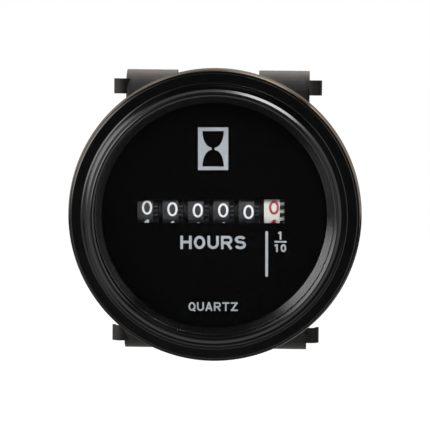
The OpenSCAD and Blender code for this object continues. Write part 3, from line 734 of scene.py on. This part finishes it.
@dataclass
class Ink:
    """A thin film of ink built up from strokes, each a flat band with a top, a bottom and closed ends.

    Strokes that follow each other differ in height by the lift, so that they share no face where they cross.
    """

    thickness: float = 0.02
    lift: float = 0.002
    levels: int = 3
    points: list[np.ndarray] = field(default_factory=list)
    faces: list[np.ndarray] = field(default_factory=list)
    count: int = 0

    def add(self, line: np.ndarray, width: float, placing: Placing, ends: Ends = Ends.SQUARE) -> None:
        """Carries a flat section of the given width along a middle line: line +/- width / 2 * normal.

        Args:
            line: the middle line, two numbers a point, in mm on the printed surface.
            width: the band's width.
            placing: takes points on the surface and heights above it to dial-frame points.
            ends: whether the band is closed on itself.
        """
        ring = ends is Ends.RING
        ahead = np.roll(line, -1, axis=0) - np.roll(line, 1, axis=0) if ring else np.gradient(line, axis=0)
        ahead /= np.linalg.norm(ahead, axis=1, keepdims=True)
        side = np.stack([-ahead[:, 1], ahead[:, 0]], axis=-1) * width / 2
        self.between(line + side, line - side, placing, ends)

    def between(self, left: np.ndarray, right: np.ndarray, placing: Placing, ends: Ends = Ends.SQUARE) -> None:
        """Fills the strip between two edges that run the same way, with a top, a bottom and closed sides.

        Args:
            left: the edge on the left of the way that the strip runs, two numbers a point.
            right: the edge on its right, as many points.
            placing: takes points on the surface and heights above it to dial-frame points.
            ends: whether the strip is closed on itself.
        """
        ring = ends is Ends.RING
        high = self.thickness + self.lift * (len(self.points) % self.levels)
        flat = np.stack([left, right, right, left], axis=1)
        heights = np.broadcast_to(np.array([0.0, 0.0, high, high]), flat.shape[:2])
        points = placing(flat.reshape(-1, 2), heights.reshape(-1))
        faces = grid_faces(len(left), 4, ring, True)
        if not ring:
            last = 4 * (len(left) - 1)
            faces = np.concatenate([faces, [[3, 2, 1, 0], [last, last + 1, last + 2, last + 3]]])
        self.points.append(points)
        self.faces.append(faces[:, ::-1] + self.count)
        self.count += len(points)

    def sign(self, alphabet: Alphabet, sign: str, corner: tuple[float, float], cap: float,
             placing: Placing) -> None:
        """Draws one letter or figure.

        Args:
            alphabet: the letters' form.
            sign: the letter or figure.
            corner: its lower left corner, in mm.
            cap: its height, in mm.
            placing: takes points on the surface to dial-frame points.
        """
        for part in alphabet.glyph(sign):
            self.add(np.array(corner) + part.line * cap, alphabet.stroke * cap, placing, part.ends)

    def piece(self, name: str, finish: Finish, body: str) -> bpy.types.Object:
        """The ink drawn so far, as one piece.

        Args:
            name: the piece's name.
            finish: its finish.
            body: the CAD body that carries it.

        Returns:
            The new object.
        """
        return new_piece(name, np.concatenate(self.points), np.concatenate(self.faces), finish, body)


@dataclass
class DialPrint:
    """The silver print on the dial: an hourglass sign, two words, a rule and a fraction.

    Strokes, the gap between letters and the width of the fraction's figures are in cap heights. The gaps of
    the fraction are over and under its bar, and ten_x is where the 1 and the 0 under the bar start.
    """

    middle_x: float = -0.34
    sign_y: float = 13.22
    sign_size: tuple[float, float] = (6.05, 8.54)
    sign_rim: tuple[float, float] = (0.88, 0.72)
    neck: float = 0.62
    neck_share: float = 0.07
    glass_steps: int = 80
    letter_gap: float = 0.17
    hours_y: float = -6.9
    hours_cap: float = 2.66
    hours_width: float = 13.15
    hours_stroke: float = 0.2
    quartz_y: float = -19.38
    quartz_cap: float = 1.76
    quartz_width: float = 9.9
    quartz_stroke: float = 0.18
    rule_x: float = 10.4
    rule_y: tuple[float, float] = (-12.43, -3.27)
    rule_w: float = 0.54
    fraction_x: float = 13.17
    fraction_bar: tuple[float, float] = (2.42, 0.34)
    fraction_y: float = -5.4
    fraction_cap: float = 1.6
    fraction_stroke: float = 0.21
    fraction_wide: float = 0.7
    fraction_gaps: tuple[float, float] = (0.26, 0.3)
    ten_x: tuple[float, float] = (-1.34, 0.02)

    def on_dial(self, flat: np.ndarray, height: np.ndarray) -> np.ndarray:
        """Puts points of the print on the dial's face.

        Args:
            flat: x and y of each point, in mm.
            height: how far each stands above the face.

        Returns:
            Dial-frame points.
        """
        face = -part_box("dial")[0].y / MM
        return np.column_stack([flat, face + height])

    def level_bar(self, ink: Ink, middle: tuple[float, float], length: float, thick: float) -> None:
        """A bar that lies level.

        Args:
            ink: the film that the bar is added to.
            middle: x and y of its middle.
            length: its length.
            thick: its height.
        """
        x, y = middle
        ink.add(np.array([[x - length / 2, y], [x + length / 2, y]]), thick, self.on_dial)

    def hourglass(self, ink: Ink) -> None:
        """A silver panel round a dark glass: two bulbs whose half width is an ellipse's, joined by a neck.

        Args:
            ink: the film that the sign is added to.
        """
        width, height = self.sign_size
        rim_x, rim_y = self.sign_rim
        half_glass = width / 2 - rim_x
        bulb_h = height / 2 - rim_y
        # The points lie close at the neck and at both ends
        along = np.sin(np.linspace(-np.pi / 2, np.pi / 2, self.glass_steps + 1)) ** 3
        share = np.clip((np.abs(along) - self.neck_share) / (1 - self.neck_share), 0, 1)
        glass = self.neck / 2 + (half_glass - self.neck / 2) * np.sqrt(1 - (1 - share) ** 2)
        level = self.sign_y + along * bulb_h
        for side in (-1, 1):
            curved = np.column_stack([self.middle_x + side * glass, level])
            straight = np.column_stack([np.full_like(level, self.middle_x + side * width / 2), level])
            edges = (curved, straight) if side > 0 else (straight, curved)
            ink.between(*edges, self.on_dial)
            self.level_bar(ink, (self.middle_x, self.sign_y + side * (height - rim_y) / 2), width, rim_y)

    def word(self, ink: Ink, letters: str, base_y: float, cap: float, width: float, stroke: float) -> None:
        """A word in even letters, centred on the print's middle.

        Args:
            ink: the film that the word is added to.
            letters: the word.
            base_y: height of its base line.
            cap: height of its capitals.
            width: its whole width.
            stroke: width of a stroke, in cap heights.
        """
        gap = self.letter_gap * cap
        letter_w = (width - gap * (len(letters) - 1)) / len(letters)
        alphabet = Alphabet(stroke, letter_w / cap)
        for i, letter in enumerate(letters):
            corner = (self.middle_x - width / 2 + i * (letter_w + gap), base_y)
            ink.sign(alphabet, letter, corner, cap, self.on_dial)

    def rule(self, ink: Ink) -> None:
        """The upright rule before the tenths, with half-round ends of half width r sin t.

        Args:
            ink: the film that the rule is added to.
        """
        radius = self.rule_w / 2
        # The ends start 2 degrees off their tips, so that no two points fall together
        turn = np.radians(np.linspace(2, 90, 9))
        low, high = self.rule_y[0] + radius, self.rule_y[1] - radius
        level = np.concatenate([low - radius * np.cos(turn), high + radius * np.cos(turn[::-1])])
        half = radius * np.concatenate([np.sin(turn), np.sin(turn[::-1])])
        ink.between(np.column_stack([self.rule_x - half, level]), np.column_stack([self.rule_x + half, level]),
                    self.on_dial)

    def fraction(self, ink: Ink) -> None:
        """One tenth: a 1, a bar and a 10 below it.

        Args:
            ink: the film that the fraction is added to.
        """
        length, thick = self.fraction_bar
        self.level_bar(ink, (self.fraction_x, self.fraction_y), length, thick)
        alphabet = Alphabet(self.fraction_stroke, self.fraction_wide)
        cap = self.fraction_cap
        stem_x = alphabet.stem * alphabet.wide * cap
        over = self.fraction_y + thick / 2 + self.fraction_gaps[0]
        under = self.fraction_y - thick / 2 - self.fraction_gaps[1] - cap
        for figure, x, y in (("1", -stem_x, over), ("1", self.ten_x[0], under), ("0", self.ten_x[1], under)):
            ink.sign(alphabet, figure, (self.fraction_x + x, y), cap, self.on_dial)

    def build(self) -> None:
        """Draws the whole print as one film of ink."""
        ink = Ink()
        self.hourglass(ink)
        self.word(ink, "HOURS", self.hours_y, self.hours_cap, self.hours_width, self.hours_stroke)
        self.word(ink, "QUARTZ", self.quartz_y, self.quartz_cap, self.quartz_width, self.quartz_stroke)
        self.rule(ink)
        self.fraction(ink)
        ink.piece("dial_print", SILVER_INK, HOUSING)


@dataclass
class CounterWheel:
    """One number wheel: its CAD drum with a turned band round the rim and ten figures on the band.

    The gear's right face and the rim's two sides are measured from the figures' middle. tooth_top is how far
    down its teeth keep the drum's own finish; below it the tooth gaps are painted black as shade.
    """

    name: str
    slack_deg: float
    drum: Finish
    figures: Finish
    slot: str
    gear_right: float = 2.1
    rim: tuple[float, float] = (-2.0, 1.15)
    band_t: float = 0.02
    band_depth: float = 0.3
    edge: float = 0.1
    edge_steps: int = 5
    clear: float = 0.05
    # How far down from their tips the teeth keep the drum's own finish; deeper in the gaps is painted shade
    tooth_top: float = 0.7
    cap: float = 2.86
    width: float = 2.06
    stroke: float = 0.42
    flag: float = 0.26
    foil_t: float = 0.015
    count: int = 10
    segments: int = 180

    def __post_init__(self) -> None:
        """Takes the wheel's axis and radius from its CAD node."""
        low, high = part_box(self.name)
        self.middle_x = high.x / MM - self.gear_right
        self.axis_y = (low.z + high.z) / 2 / MM
        self.axis_z = -(low.y + high.y) / 2 / MM
        self.radius = (high.z - low.z) / 2 / MM

    def on_drum(self, flat: np.ndarray, height: np.ndarray) -> np.ndarray:
        """Wraps points round the drum: x stays, and y becomes an angle of y / radius up from the front.

        Args:
            flat: x from the figure's middle and distance up the rim from the front, in mm.
            height: how far each stands above the band.

        Returns:
            Dial-frame points.
        """
        reach = self.radius + self.band_t + height
        angle = flat[:, 1] / self.radius
        return np.column_stack([self.middle_x + flat[:, 0], self.axis_y + reach * np.sin(angle),
                                self.axis_z + reach * np.cos(angle)])

    def band(self) -> None:
        """The turned band: a ring section with rounded outer corners, carried round the axis."""
        outer, inner = self.radius + self.band_t, self.radius - self.band_depth
        left, right = self.rim
        across = np.concatenate([
            [[left, inner], [right, inner]],
            arc((right - self.edge, outer - self.edge), self.edge, 0, 90, self.edge_steps),
            arc((left + self.edge, outer - self.edge), self.edge, 90, 180, self.edge_steps)])
        turn = np.linspace(0, 2 * np.pi, self.segments, endpoint=False)[:, None]
        x = self.middle_x + across[None, :, 0] + 0 * turn
        reach = across[None, :, 1]
        points = np.stack([x, self.axis_y + reach * np.sin(turn), self.axis_z + reach * np.cos(turn)], axis=-1)
        faces = grid_faces(self.segments, len(across), True, True)[:, ::-1]
        piece = new_piece(f"{self.name}_band", points.reshape(-1, 3), faces, self.drum, self.name)

    def blacken(self) -> None:
        """Paints the carry ring, left of the rim, and the tooth gaps, right of it, with the black wheels'
        finish as painted shade.
        """
        mesh = bpy.data.objects[self.name].data
        # The black wheels' finish serves here as painted shade for the carry ring and the tooth gaps
        mesh.materials.append(BLACK_WHEEL.material())
        middles = np.empty(3 * len(mesh.polygons))
        mesh.polygons.foreach_get("center", middles)
        x, depth, level = middles.reshape(-1, 3).T / MM
        reach = np.hypot(depth + self.axis_z, level - self.axis_y)
        left, right = (self.middle_x + side for side in self.rim)
        gear = x > right + self.clear
        # Tooth gaps below the unshaded tips get painted shade
        gaps = gear & (reach < reach[gear].max() - self.tooth_top)
        mesh.polygons.foreach_set("material_index", ((x < left - self.clear) | gaps).astype(np.int32))

    def build(self) -> None:
        """Dresses the drum, adds its band and stamps the figures, each a tenth of a turn below the last."""
        dress(self.name, self.drum)
        # Painted shade on the carry ring and in the tooth gaps
        self.blacken()
        self.band()
        alphabet = Alphabet(self.stroke / self.cap, self.width / self.cap, self.flag)
        ink = Ink(thickness=self.foil_t)
        for number in range(self.count):
            rise = math.radians(self.slack_deg - 360 / self.count * number) * self.radius
            corner = (-self.width / 2, rise - self.cap / 2)
            ink.sign(alphabet, str(number), corner, self.cap, self.on_drum)
        ink.piece(f"{self.name}_figures", self.figures, self.name)


@dataclass
class Counter:
    """The row of six wheels, with the small play that each shows at rest."""

    play_deg: tuple[float, ...] = (6.1, 3.1, 0.9, 1.1, -2.0)
    tenths_play_deg: float = 6.4
    tenths_stroke: float = 0.5
    names: tuple[str, ...] = ("ten_thousands", "thousands", "hundreds", "tens", "units")

    def build(self) -> None:
        """Builds the five black wheels, the white one and the pinions between them."""
        for name, play in zip(self.names, self.play_deg):
            CounterWheel(f"wheel_{name}", play, BLACK_WHEEL, WHITE_FOIL, "wheel_black").build()
            dress(f"pinion_{name}", GEAR_ACETAL)
        CounterWheel("wheel_tenths", self.tenths_play_deg, WHITE_WHEEL, RED_FOIL, "wheel_white",
                     stroke=self.tenths_stroke).build()


def dress(node: str, finish: Finish | ClearSheet) -> None:
    """Gives a CAD node, or a piece made from one, its finish.

    Args:
        node: its name.
        finish: the finish.
    """
    mesh = bpy.data.objects[node].data
    mesh.materials.clear()
    mesh.materials.append(finish.material())


def smooth_by_angle() -> bpy.types.NodeTree:
    """Geometry nodes that shade a mesh smooth, apart from edges sharper than SHARP_DEG.

    Returns:
        The node group, made on the first call.
    """
    made = bpy.data.node_groups.get("smooth_by_angle")
    if made is not None:
        return made
    made = bpy.data.node_groups.new("smooth_by_angle", "GeometryNodeTree")
    for way in ("INPUT", "OUTPUT"):
        made.interface.new_socket("Geometry", in_out=way, socket_type="NodeSocketGeometry")
    given = add_node(made, "NodeGroupInput").outputs[0]
    angle = add_node(made, "GeometryNodeInputMeshEdgeAngle").outputs["Unsigned Angle"]
    sharp = add_node(made, "FunctionNodeCompare", {"operation": "GREATER_THAN"}, {
        0: angle, 1: math.radians(SHARP_DEG)})
    shaded = add_node(made, "GeometryNodeSetMeshNormal", {"mode": "SHARPNESS"}, {
        "Mesh": given, "Remove Custom": True, "Edge Sharpness": sharp.outputs[0]})
    add_node(made, "NodeGroupOutput", inputs={0: shaded.outputs[0]})
    return made


def soften(node: str, width_mm: float) -> None:
    """Shades a CAD node, or a piece made from one, smooth and rounds its edges, over its welded triangles.

    Args:
        node: its name.
        width_mm: the rounding's width.
    """
    shape = bpy.data.objects[node]
    shape.modifiers.new("weld", "WELD").merge_threshold = WELD_M
    shape.modifiers.new("shading", "NODES").node_group = smooth_by_angle()
    bevel = shape.modifiers.new("edges", "BEVEL")
    bevel.width = width_mm * MM
    bevel.segments = 2
    bevel.limit_method = "ANGLE"
    bevel.angle_limit = math.radians(SHARP_DEG)
    bevel.harden_normals = True


@dataclass
class ClampWings:
    """The clamp as it shows: the CAD solid with two notches, which part each return into two wings."""

    notch_w: float = 16.8
    floor_r: float = 27.95
    floor_steps: int = 32
    reach: float = 32.0
    depth: float = 30.0
    turn_deg: float = 0.6
    edge: float = 0.18

    def across(self, flat: np.ndarray, height: np.ndarray) -> np.ndarray:
        """Puts the notches' outline behind the bezel, turned with the clamp.

        Args:
            flat: x and y of each point, in mm.
            height: how far each stands behind the panel's face.

        Returns:
            Dial-frame points.
        """
        turn = math.radians(-self.turn_deg)
        x = flat[:, 0] * math.cos(turn) - flat[:, 1] * math.sin(turn)
        y = flat[:, 0] * math.sin(turn) + flat[:, 1] * math.cos(turn)
        return np.column_stack([x, y, -height])

    def cutter(self) -> bpy.types.Object:
        """Both notches as one solid, each from the circle y = sqrt(r * r - x * x) out to a line.

        Returns:
            The cutter.
        """
        # A strip of ink is a closed solid, and a thick one reaches right through the clamp
        strips = Ink(thickness=self.depth, lift=0.0)
        x = np.linspace(-self.notch_w / 2, self.notch_w / 2, self.floor_steps + 1)
        near = np.column_stack([x, np.sqrt(self.floor_r ** 2 - x ** 2)])
        far = np.column_stack([x, np.full_like(x, self.reach)])
        strips.between(near, far, self.across)
        strips.between(-near, -far, self.across)
        mesh = quad_mesh("notches", np.concatenate(strips.points), np.concatenate(strips.faces))
        return put_in_scene("notches", mesh)

    def build(self) -> None:
        """Cuts the notches out of a welded copy of the CAD solid, which the new piece stands for."""
        cutter = self.cutter()
        piece = put_in_scene("clamp_wings", bpy.data.objects["clamp_bracket"].data.copy())
        piece.modifiers.new("weld", "WELD").merge_threshold = WELD_M
        notch = piece.modifiers.new("notch", "BOOLEAN")
        notch.operation, notch.solver, notch.object = "DIFFERENCE", "EXACT", cutter
        shown = piece.evaluated_get(bpy.context.evaluated_depsgraph_get())
        piece.data = bpy.data.meshes.new_from_object(shown)
        piece.modifiers.clear()
        bpy.data.objects.remove(cutter)
        dress("clamp_wings", CLAMP_NYLON)
        soften("clamp_wings", self.edge)
        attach(piece, "clamp")
        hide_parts("clamp_bracket")
        LOG.info("clamp_wings: %d points, on clamp", len(piece.data.vertices))


@dataclass(frozen=True)
class SoftBox:
    """A soft lamp, placed by its clock angle round the dial and its angle away from the dial's axis."""

    name: str
    clock_deg: float
    off_axis_deg: float
    distance_mm: float
    size_mm: tuple[float, float]
    watts: float
    glow: float = 0.0
    glow_deg: tuple[float, float] = (5.0, 34.0)
    spares: tuple[str, ...] = ()

    def towards(self) -> Vector:
        """The direction from the dial to the lamp.

        Returns:
            A unit vector.
        """
        clock, off = math.radians(self.clock_deg), math.radians(self.off_axis_deg)
        return Vector((math.sin(off) * math.cos(clock), -math.cos(off), math.sin(off) * math.sin(clock)))

    def halo(self, tree: bpy.types.NodeTree, direction: bpy.types.NodeSocket) -> bpy.types.NodeSocket:
        """The lamp as gloss sees it: its full glow up to the first of its angles, fading out at the second.

        Args:
            tree: the world's tree.
            direction: the direction looked in.

        Returns:
            The glow's level.
        """
        near = add_node(tree, "ShaderNodeVectorMath", {"operation": "DOT_PRODUCT"}, {
            0: direction, 1: self.towards()}).outputs["Value"]
        inner, outer = (math.cos(math.radians(a)) for a in self.glow_deg)
        return add_node(tree, "ShaderNodeMapRange", {"interpolation_type": "SMOOTHERSTEP"}, {
            "Value": near, "From Min": outer, "From Max": inner, "To Max": self.glow}).outputs[0]

    def build(self) -> None:
        """Adds the lamp, turned to the dial; one with a glow shows in gloss by that glow alone.

        The pieces that a flag beside the lamp keeps dark are linked to it as excluded.
        """
        towards = self.towards()
        lamp = bpy.data.lights.new(self.name, "AREA")
        lamp.shape = "RECTANGLE"
        lamp.size, lamp.size_y = self.size_mm[0] * MM, self.size_mm[1] * MM
        lamp.energy = self.watts
        holder = stand_up(self.name, lamp, towards * self.distance_mm * MM, towards)
        holder.visible_glossy = self.glow == 0
        holder.visible_transmission = False
        if self.spares:
            group = bpy.data.collections.new(f"{self.name}_spares")
            for piece in self.spares:
                group.objects.link(bpy.data.objects[piece])
            for entry in group.collection_objects:
                entry.light_linking.link_state = "EXCLUDE"
            holder.light_linking.receiver_collection = group


@dataclass
class Studio:
    """White surroundings, a pale floor, soft lamps and the camera."""

    azimuth_deg: float = 1.8
    elevation_deg: float = 4.0
    distance_mm: float = 430.0
    seen_width_mm: float = 86.05
    aim_mm: tuple[float, float] = (0.05, -0.02)
    sensor_mm: float = 36.0
    clip_m: tuple[float, float] = (0.01, 20.0)
    floor_z_mm: float = -260.0
    floor_half_mm: float = 3000.0
    floor_front_mm: float = 0.0
    # The floor's glow to the eye near the object and far off: the dimmer glow near it is painted shade
    floor_glow: tuple[float, float] = (0.75, 1.0)
    floor_tone: str = "#9a9a98"
    shade_mm: float = 900.0
    ambient: float = 0.1
    # Brightness of the surroundings in gloss, by the angle off the dial's axis: dark round the camera,
    # pale walls beside it, dim at the sides, white behind the meter and half as bright straight behind it
    walls: Stops = (
        (11, 0.01), (17, 1.0), (32, 1.0), (46, 1.5), (57, 1.5), (64, 0.1), (98, 0.06), (124, 1.0), (150, 1.0),
        (158, 0.5), (172, 0.3))
    # Tone of what lies behind the meter, which only its edges mirror, and where it sets in, along Y
    behind_tone: str = "#ffe9d4"
    behind_from: tuple[float, float] = (0.1, 0.6)
    # How dark the upper corner of the room is, by the clock angle and by the angle off the dial's axis
    dark_clock: Stops = ((-180, 0), (36, 0), (46, 0.85), (108, 0.85), (124, 0), (180, 0))
    dark_off_axis: Stops = (
        (0, 0), (34, 0), (42, 1), (94, 1), (106, 0), (150, 0), (158, 0.85), (180, 0.85))
    lamps: tuple[SoftBox, ...] = (
        SoftBox("side_softbox", 155, 70, 700, (430, 430), 2.3, 4.4, (5.0, 29.0)),
        SoftBox("left_fill", 200, 88, 700, (330, 330), 0.35, 0.5, (6.0, 32.0)),
        SoftBox("front_softbox", 66, 28, 800, (185, 185), 1.9, spares=("clamp_wings",)),
        SoftBox("top_softbox", 88, 104, 700, (420, 260), 6.0, 0.02, (6.0, 30.0)),
        SoftBox("back_strip", 80, 118, 700, (500, 200), 5.0, 1.6, (6.0, 30.0)),
        SoftBox("corner_strip", 62, 165, 700, (200, 200), 0.5, 0.9, (2.0, 9.0)),
        SoftBox("rear_fill", 110, 150, 700, (500, 500), 4.0, 0.02, (6.0, 30.0)),
    )

    def camera(self) -> None:
        """Sets the camera at the photograph's angle, with a lens that frames the same width."""
        turn, rise = math.radians(self.azimuth_deg), math.radians(self.elevation_deg)
        back = Vector((math.sin(turn) * math.cos(rise), -math.cos(turn) * math.cos(rise), math.sin(rise)))
        aim = Vector((self.aim_mm[0] * MM, 0, self.aim_mm[1] * MM))
        data = bpy.data.cameras.new("camera")
        data.sensor_width = self.sensor_mm
        data.lens = self.sensor_mm * self.distance_mm / self.seen_width_mm
        data.clip_start, data.clip_end = self.clip_m
        bpy.context.scene.camera = stand_up("camera", data, aim + back * self.distance_mm * MM, back)

    def surroundings(self) -> None:
        """White to the eye all round; gloss and glass see the walls, the dark corner and the lamps' glow."""
        world = bpy.data.worlds.new("studio")
        tree = blank_tree(world)
        join = partial(combine, tree)

        def off_axis(angle_deg: float) -> float:
            """An angle off the dial's axis as a share of the way to the back, (1 - cos a) / 2."""
            return (1 - math.cos(math.radians(angle_deg))) / 2

        def round_clock(angle_deg: float) -> float:
            """A clock angle as a share of a turn, from -180 degrees on."""
            return (angle_deg + 180) / 360

        rays = add_node(tree, "ShaderNodeLightPath").outputs
        direction = add_node(tree, "ShaderNodeTexCoord").outputs["Generated"]
        along = add_node(tree, "ShaderNodeSeparateXYZ", inputs={0: direction}).outputs
        share = add_node(tree, "ShaderNodeMapRange", inputs={
            "Value": along["Y"], "From Min": -1.0, "From Max": 1.0}).outputs[0]
        clock = add_node(tree, "ShaderNodeMapRange", inputs={
            "Value": join("ARCTAN2", along["Z"], along["X"]),
            "From Min": -math.pi, "From Max": math.pi}).outputs[0]
        room = graded(tree, share, self.walls, off_axis)
        dark = join("MULTIPLY", graded(tree, clock, self.dark_clock, round_clock),
                    graded(tree, share, self.dark_off_axis, off_axis))
        room = join("MULTIPLY", room, join("SUBTRACT", 1.0, dark))
        for lamp in self.lamps:
            if lamp.glow:
                room = join("ADD", room, lamp.halo(tree, direction))
        shiny = join("MAXIMUM", rays["Is Glossy Ray"], rays["Is Transmission Ray"])
        level = join("MAXIMUM", rays["Is Camera Ray"], join("MULTIPLY", shiny, room))
        level = join("MAXIMUM", level, join("MULTIPLY", rays["Is Diffuse Ray"], self.ambient))
        behind = add_node(tree, "ShaderNodeMapRange", {"interpolation_type": "SMOOTHSTEP"}, {
            "Value": along["Y"], "From Min": self.behind_from[0], "From Max": self.behind_from[1]}).outputs[0]
        # Inputs 6 and 7 and output 2 are the node's colours
        tone = add_node(tree, "ShaderNodeMix", {"data_type": "RGBA"}, {
            "Factor": join("MULTIPLY", shiny, behind),
            6: linear("#ffffff"), 7: linear(self.behind_tone)}).outputs[2]
        sky = add_node(tree, "ShaderNodeBackground", inputs={"Color": tone, "Strength": level})
        add_node(tree, "ShaderNodeOutputWorld", inputs={"Surface": sky.outputs[0]})
        bpy.context.scene.world = world

    def floor(self) -> None:
        """A pale floor below and behind the object, white far off; its glow is painted dimmer near the object
        as shade, where the lamps' real shadow also shows.
        """
        half, front, low = self.floor_half_mm, self.floor_front_mm, self.floor_z_mm
        corners = np.array([
            [-half, low, -front], [half, low, -front], [half, low, -half], [-half, low, -half]])
        mesh = quad_mesh("floor", corners, np.array([[0, 1, 2, 3]]))
        made = bpy.data.materials.new("pale_studio_floor")
        tree = blank_tree(made)
        rays = add_node(tree, "ShaderNodeLightPath").outputs
        seen = combine(tree, "MAXIMUM", rays["Is Camera Ray"], rays["Is Transmission Ray"])
        place = add_node(tree, "ShaderNodeTexCoord").outputs["Object"]
        far = add_node(tree, "ShaderNodeVectorMath", {"operation": "LENGTH"}, {0: place}).outputs["Value"]
        # The glow fades from white far off to dimmer near the object, a painted shade under it
        bright = add_node(tree, "ShaderNodeMapRange", {"interpolation_type": "SMOOTHSTEP"}, {
            "Value": far, "From Min": -low * MM, "From Max": self.shade_mm * MM,
            "To Min": self.floor_glow[0], "To Max": self.floor_glow[1]}).outputs[0]
        glow = combine(tree, "MULTIPLY", seen, bright)
        light = add_node(tree, "ShaderNodeEmission", inputs={"Color": linear("#ffffff"), "Strength": glow})
        matt = add_node(tree, "ShaderNodeBsdfDiffuse", inputs={"Color": linear(self.floor_tone)})
        both = add_node(tree, "ShaderNodeAddShader", inputs={0: light.outputs[0], 1: matt.outputs[0]})
        add_node(tree, "ShaderNodeOutputMaterial", inputs={"Surface": both.outputs[0]})
        mesh.materials.append(made)
        plane = put_in_scene("floor", mesh)

    def build(self) -> None:
        """Sets up the whole studio."""
        bpy.context.scene.view_settings.view_transform = "Standard"
        self.camera()
        self.surroundings()
        self.floor()
        for lamp in self.lamps:
            lamp.build()


def main() -> None:
    """Loads the frame and builds the meter's pieces in order."""
    logging.basicConfig(level=logging.INFO, format="%(name)s: %(message)s")
    for scrap in list(bpy.data.objects):
        bpy.data.objects.remove(scrap)
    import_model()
    for node, finish in NODE_FINISHES.items():
        dress(node, finish)
    for node, width in SOFT_EDGES.items():
        soften(node, width)
    Bezel().build()
    DialSurround().build()
    DialPrint().build()
    Counter().build()
    ClampWings().build()
    Studio().build()


if __name__ == "__main__":
    main()
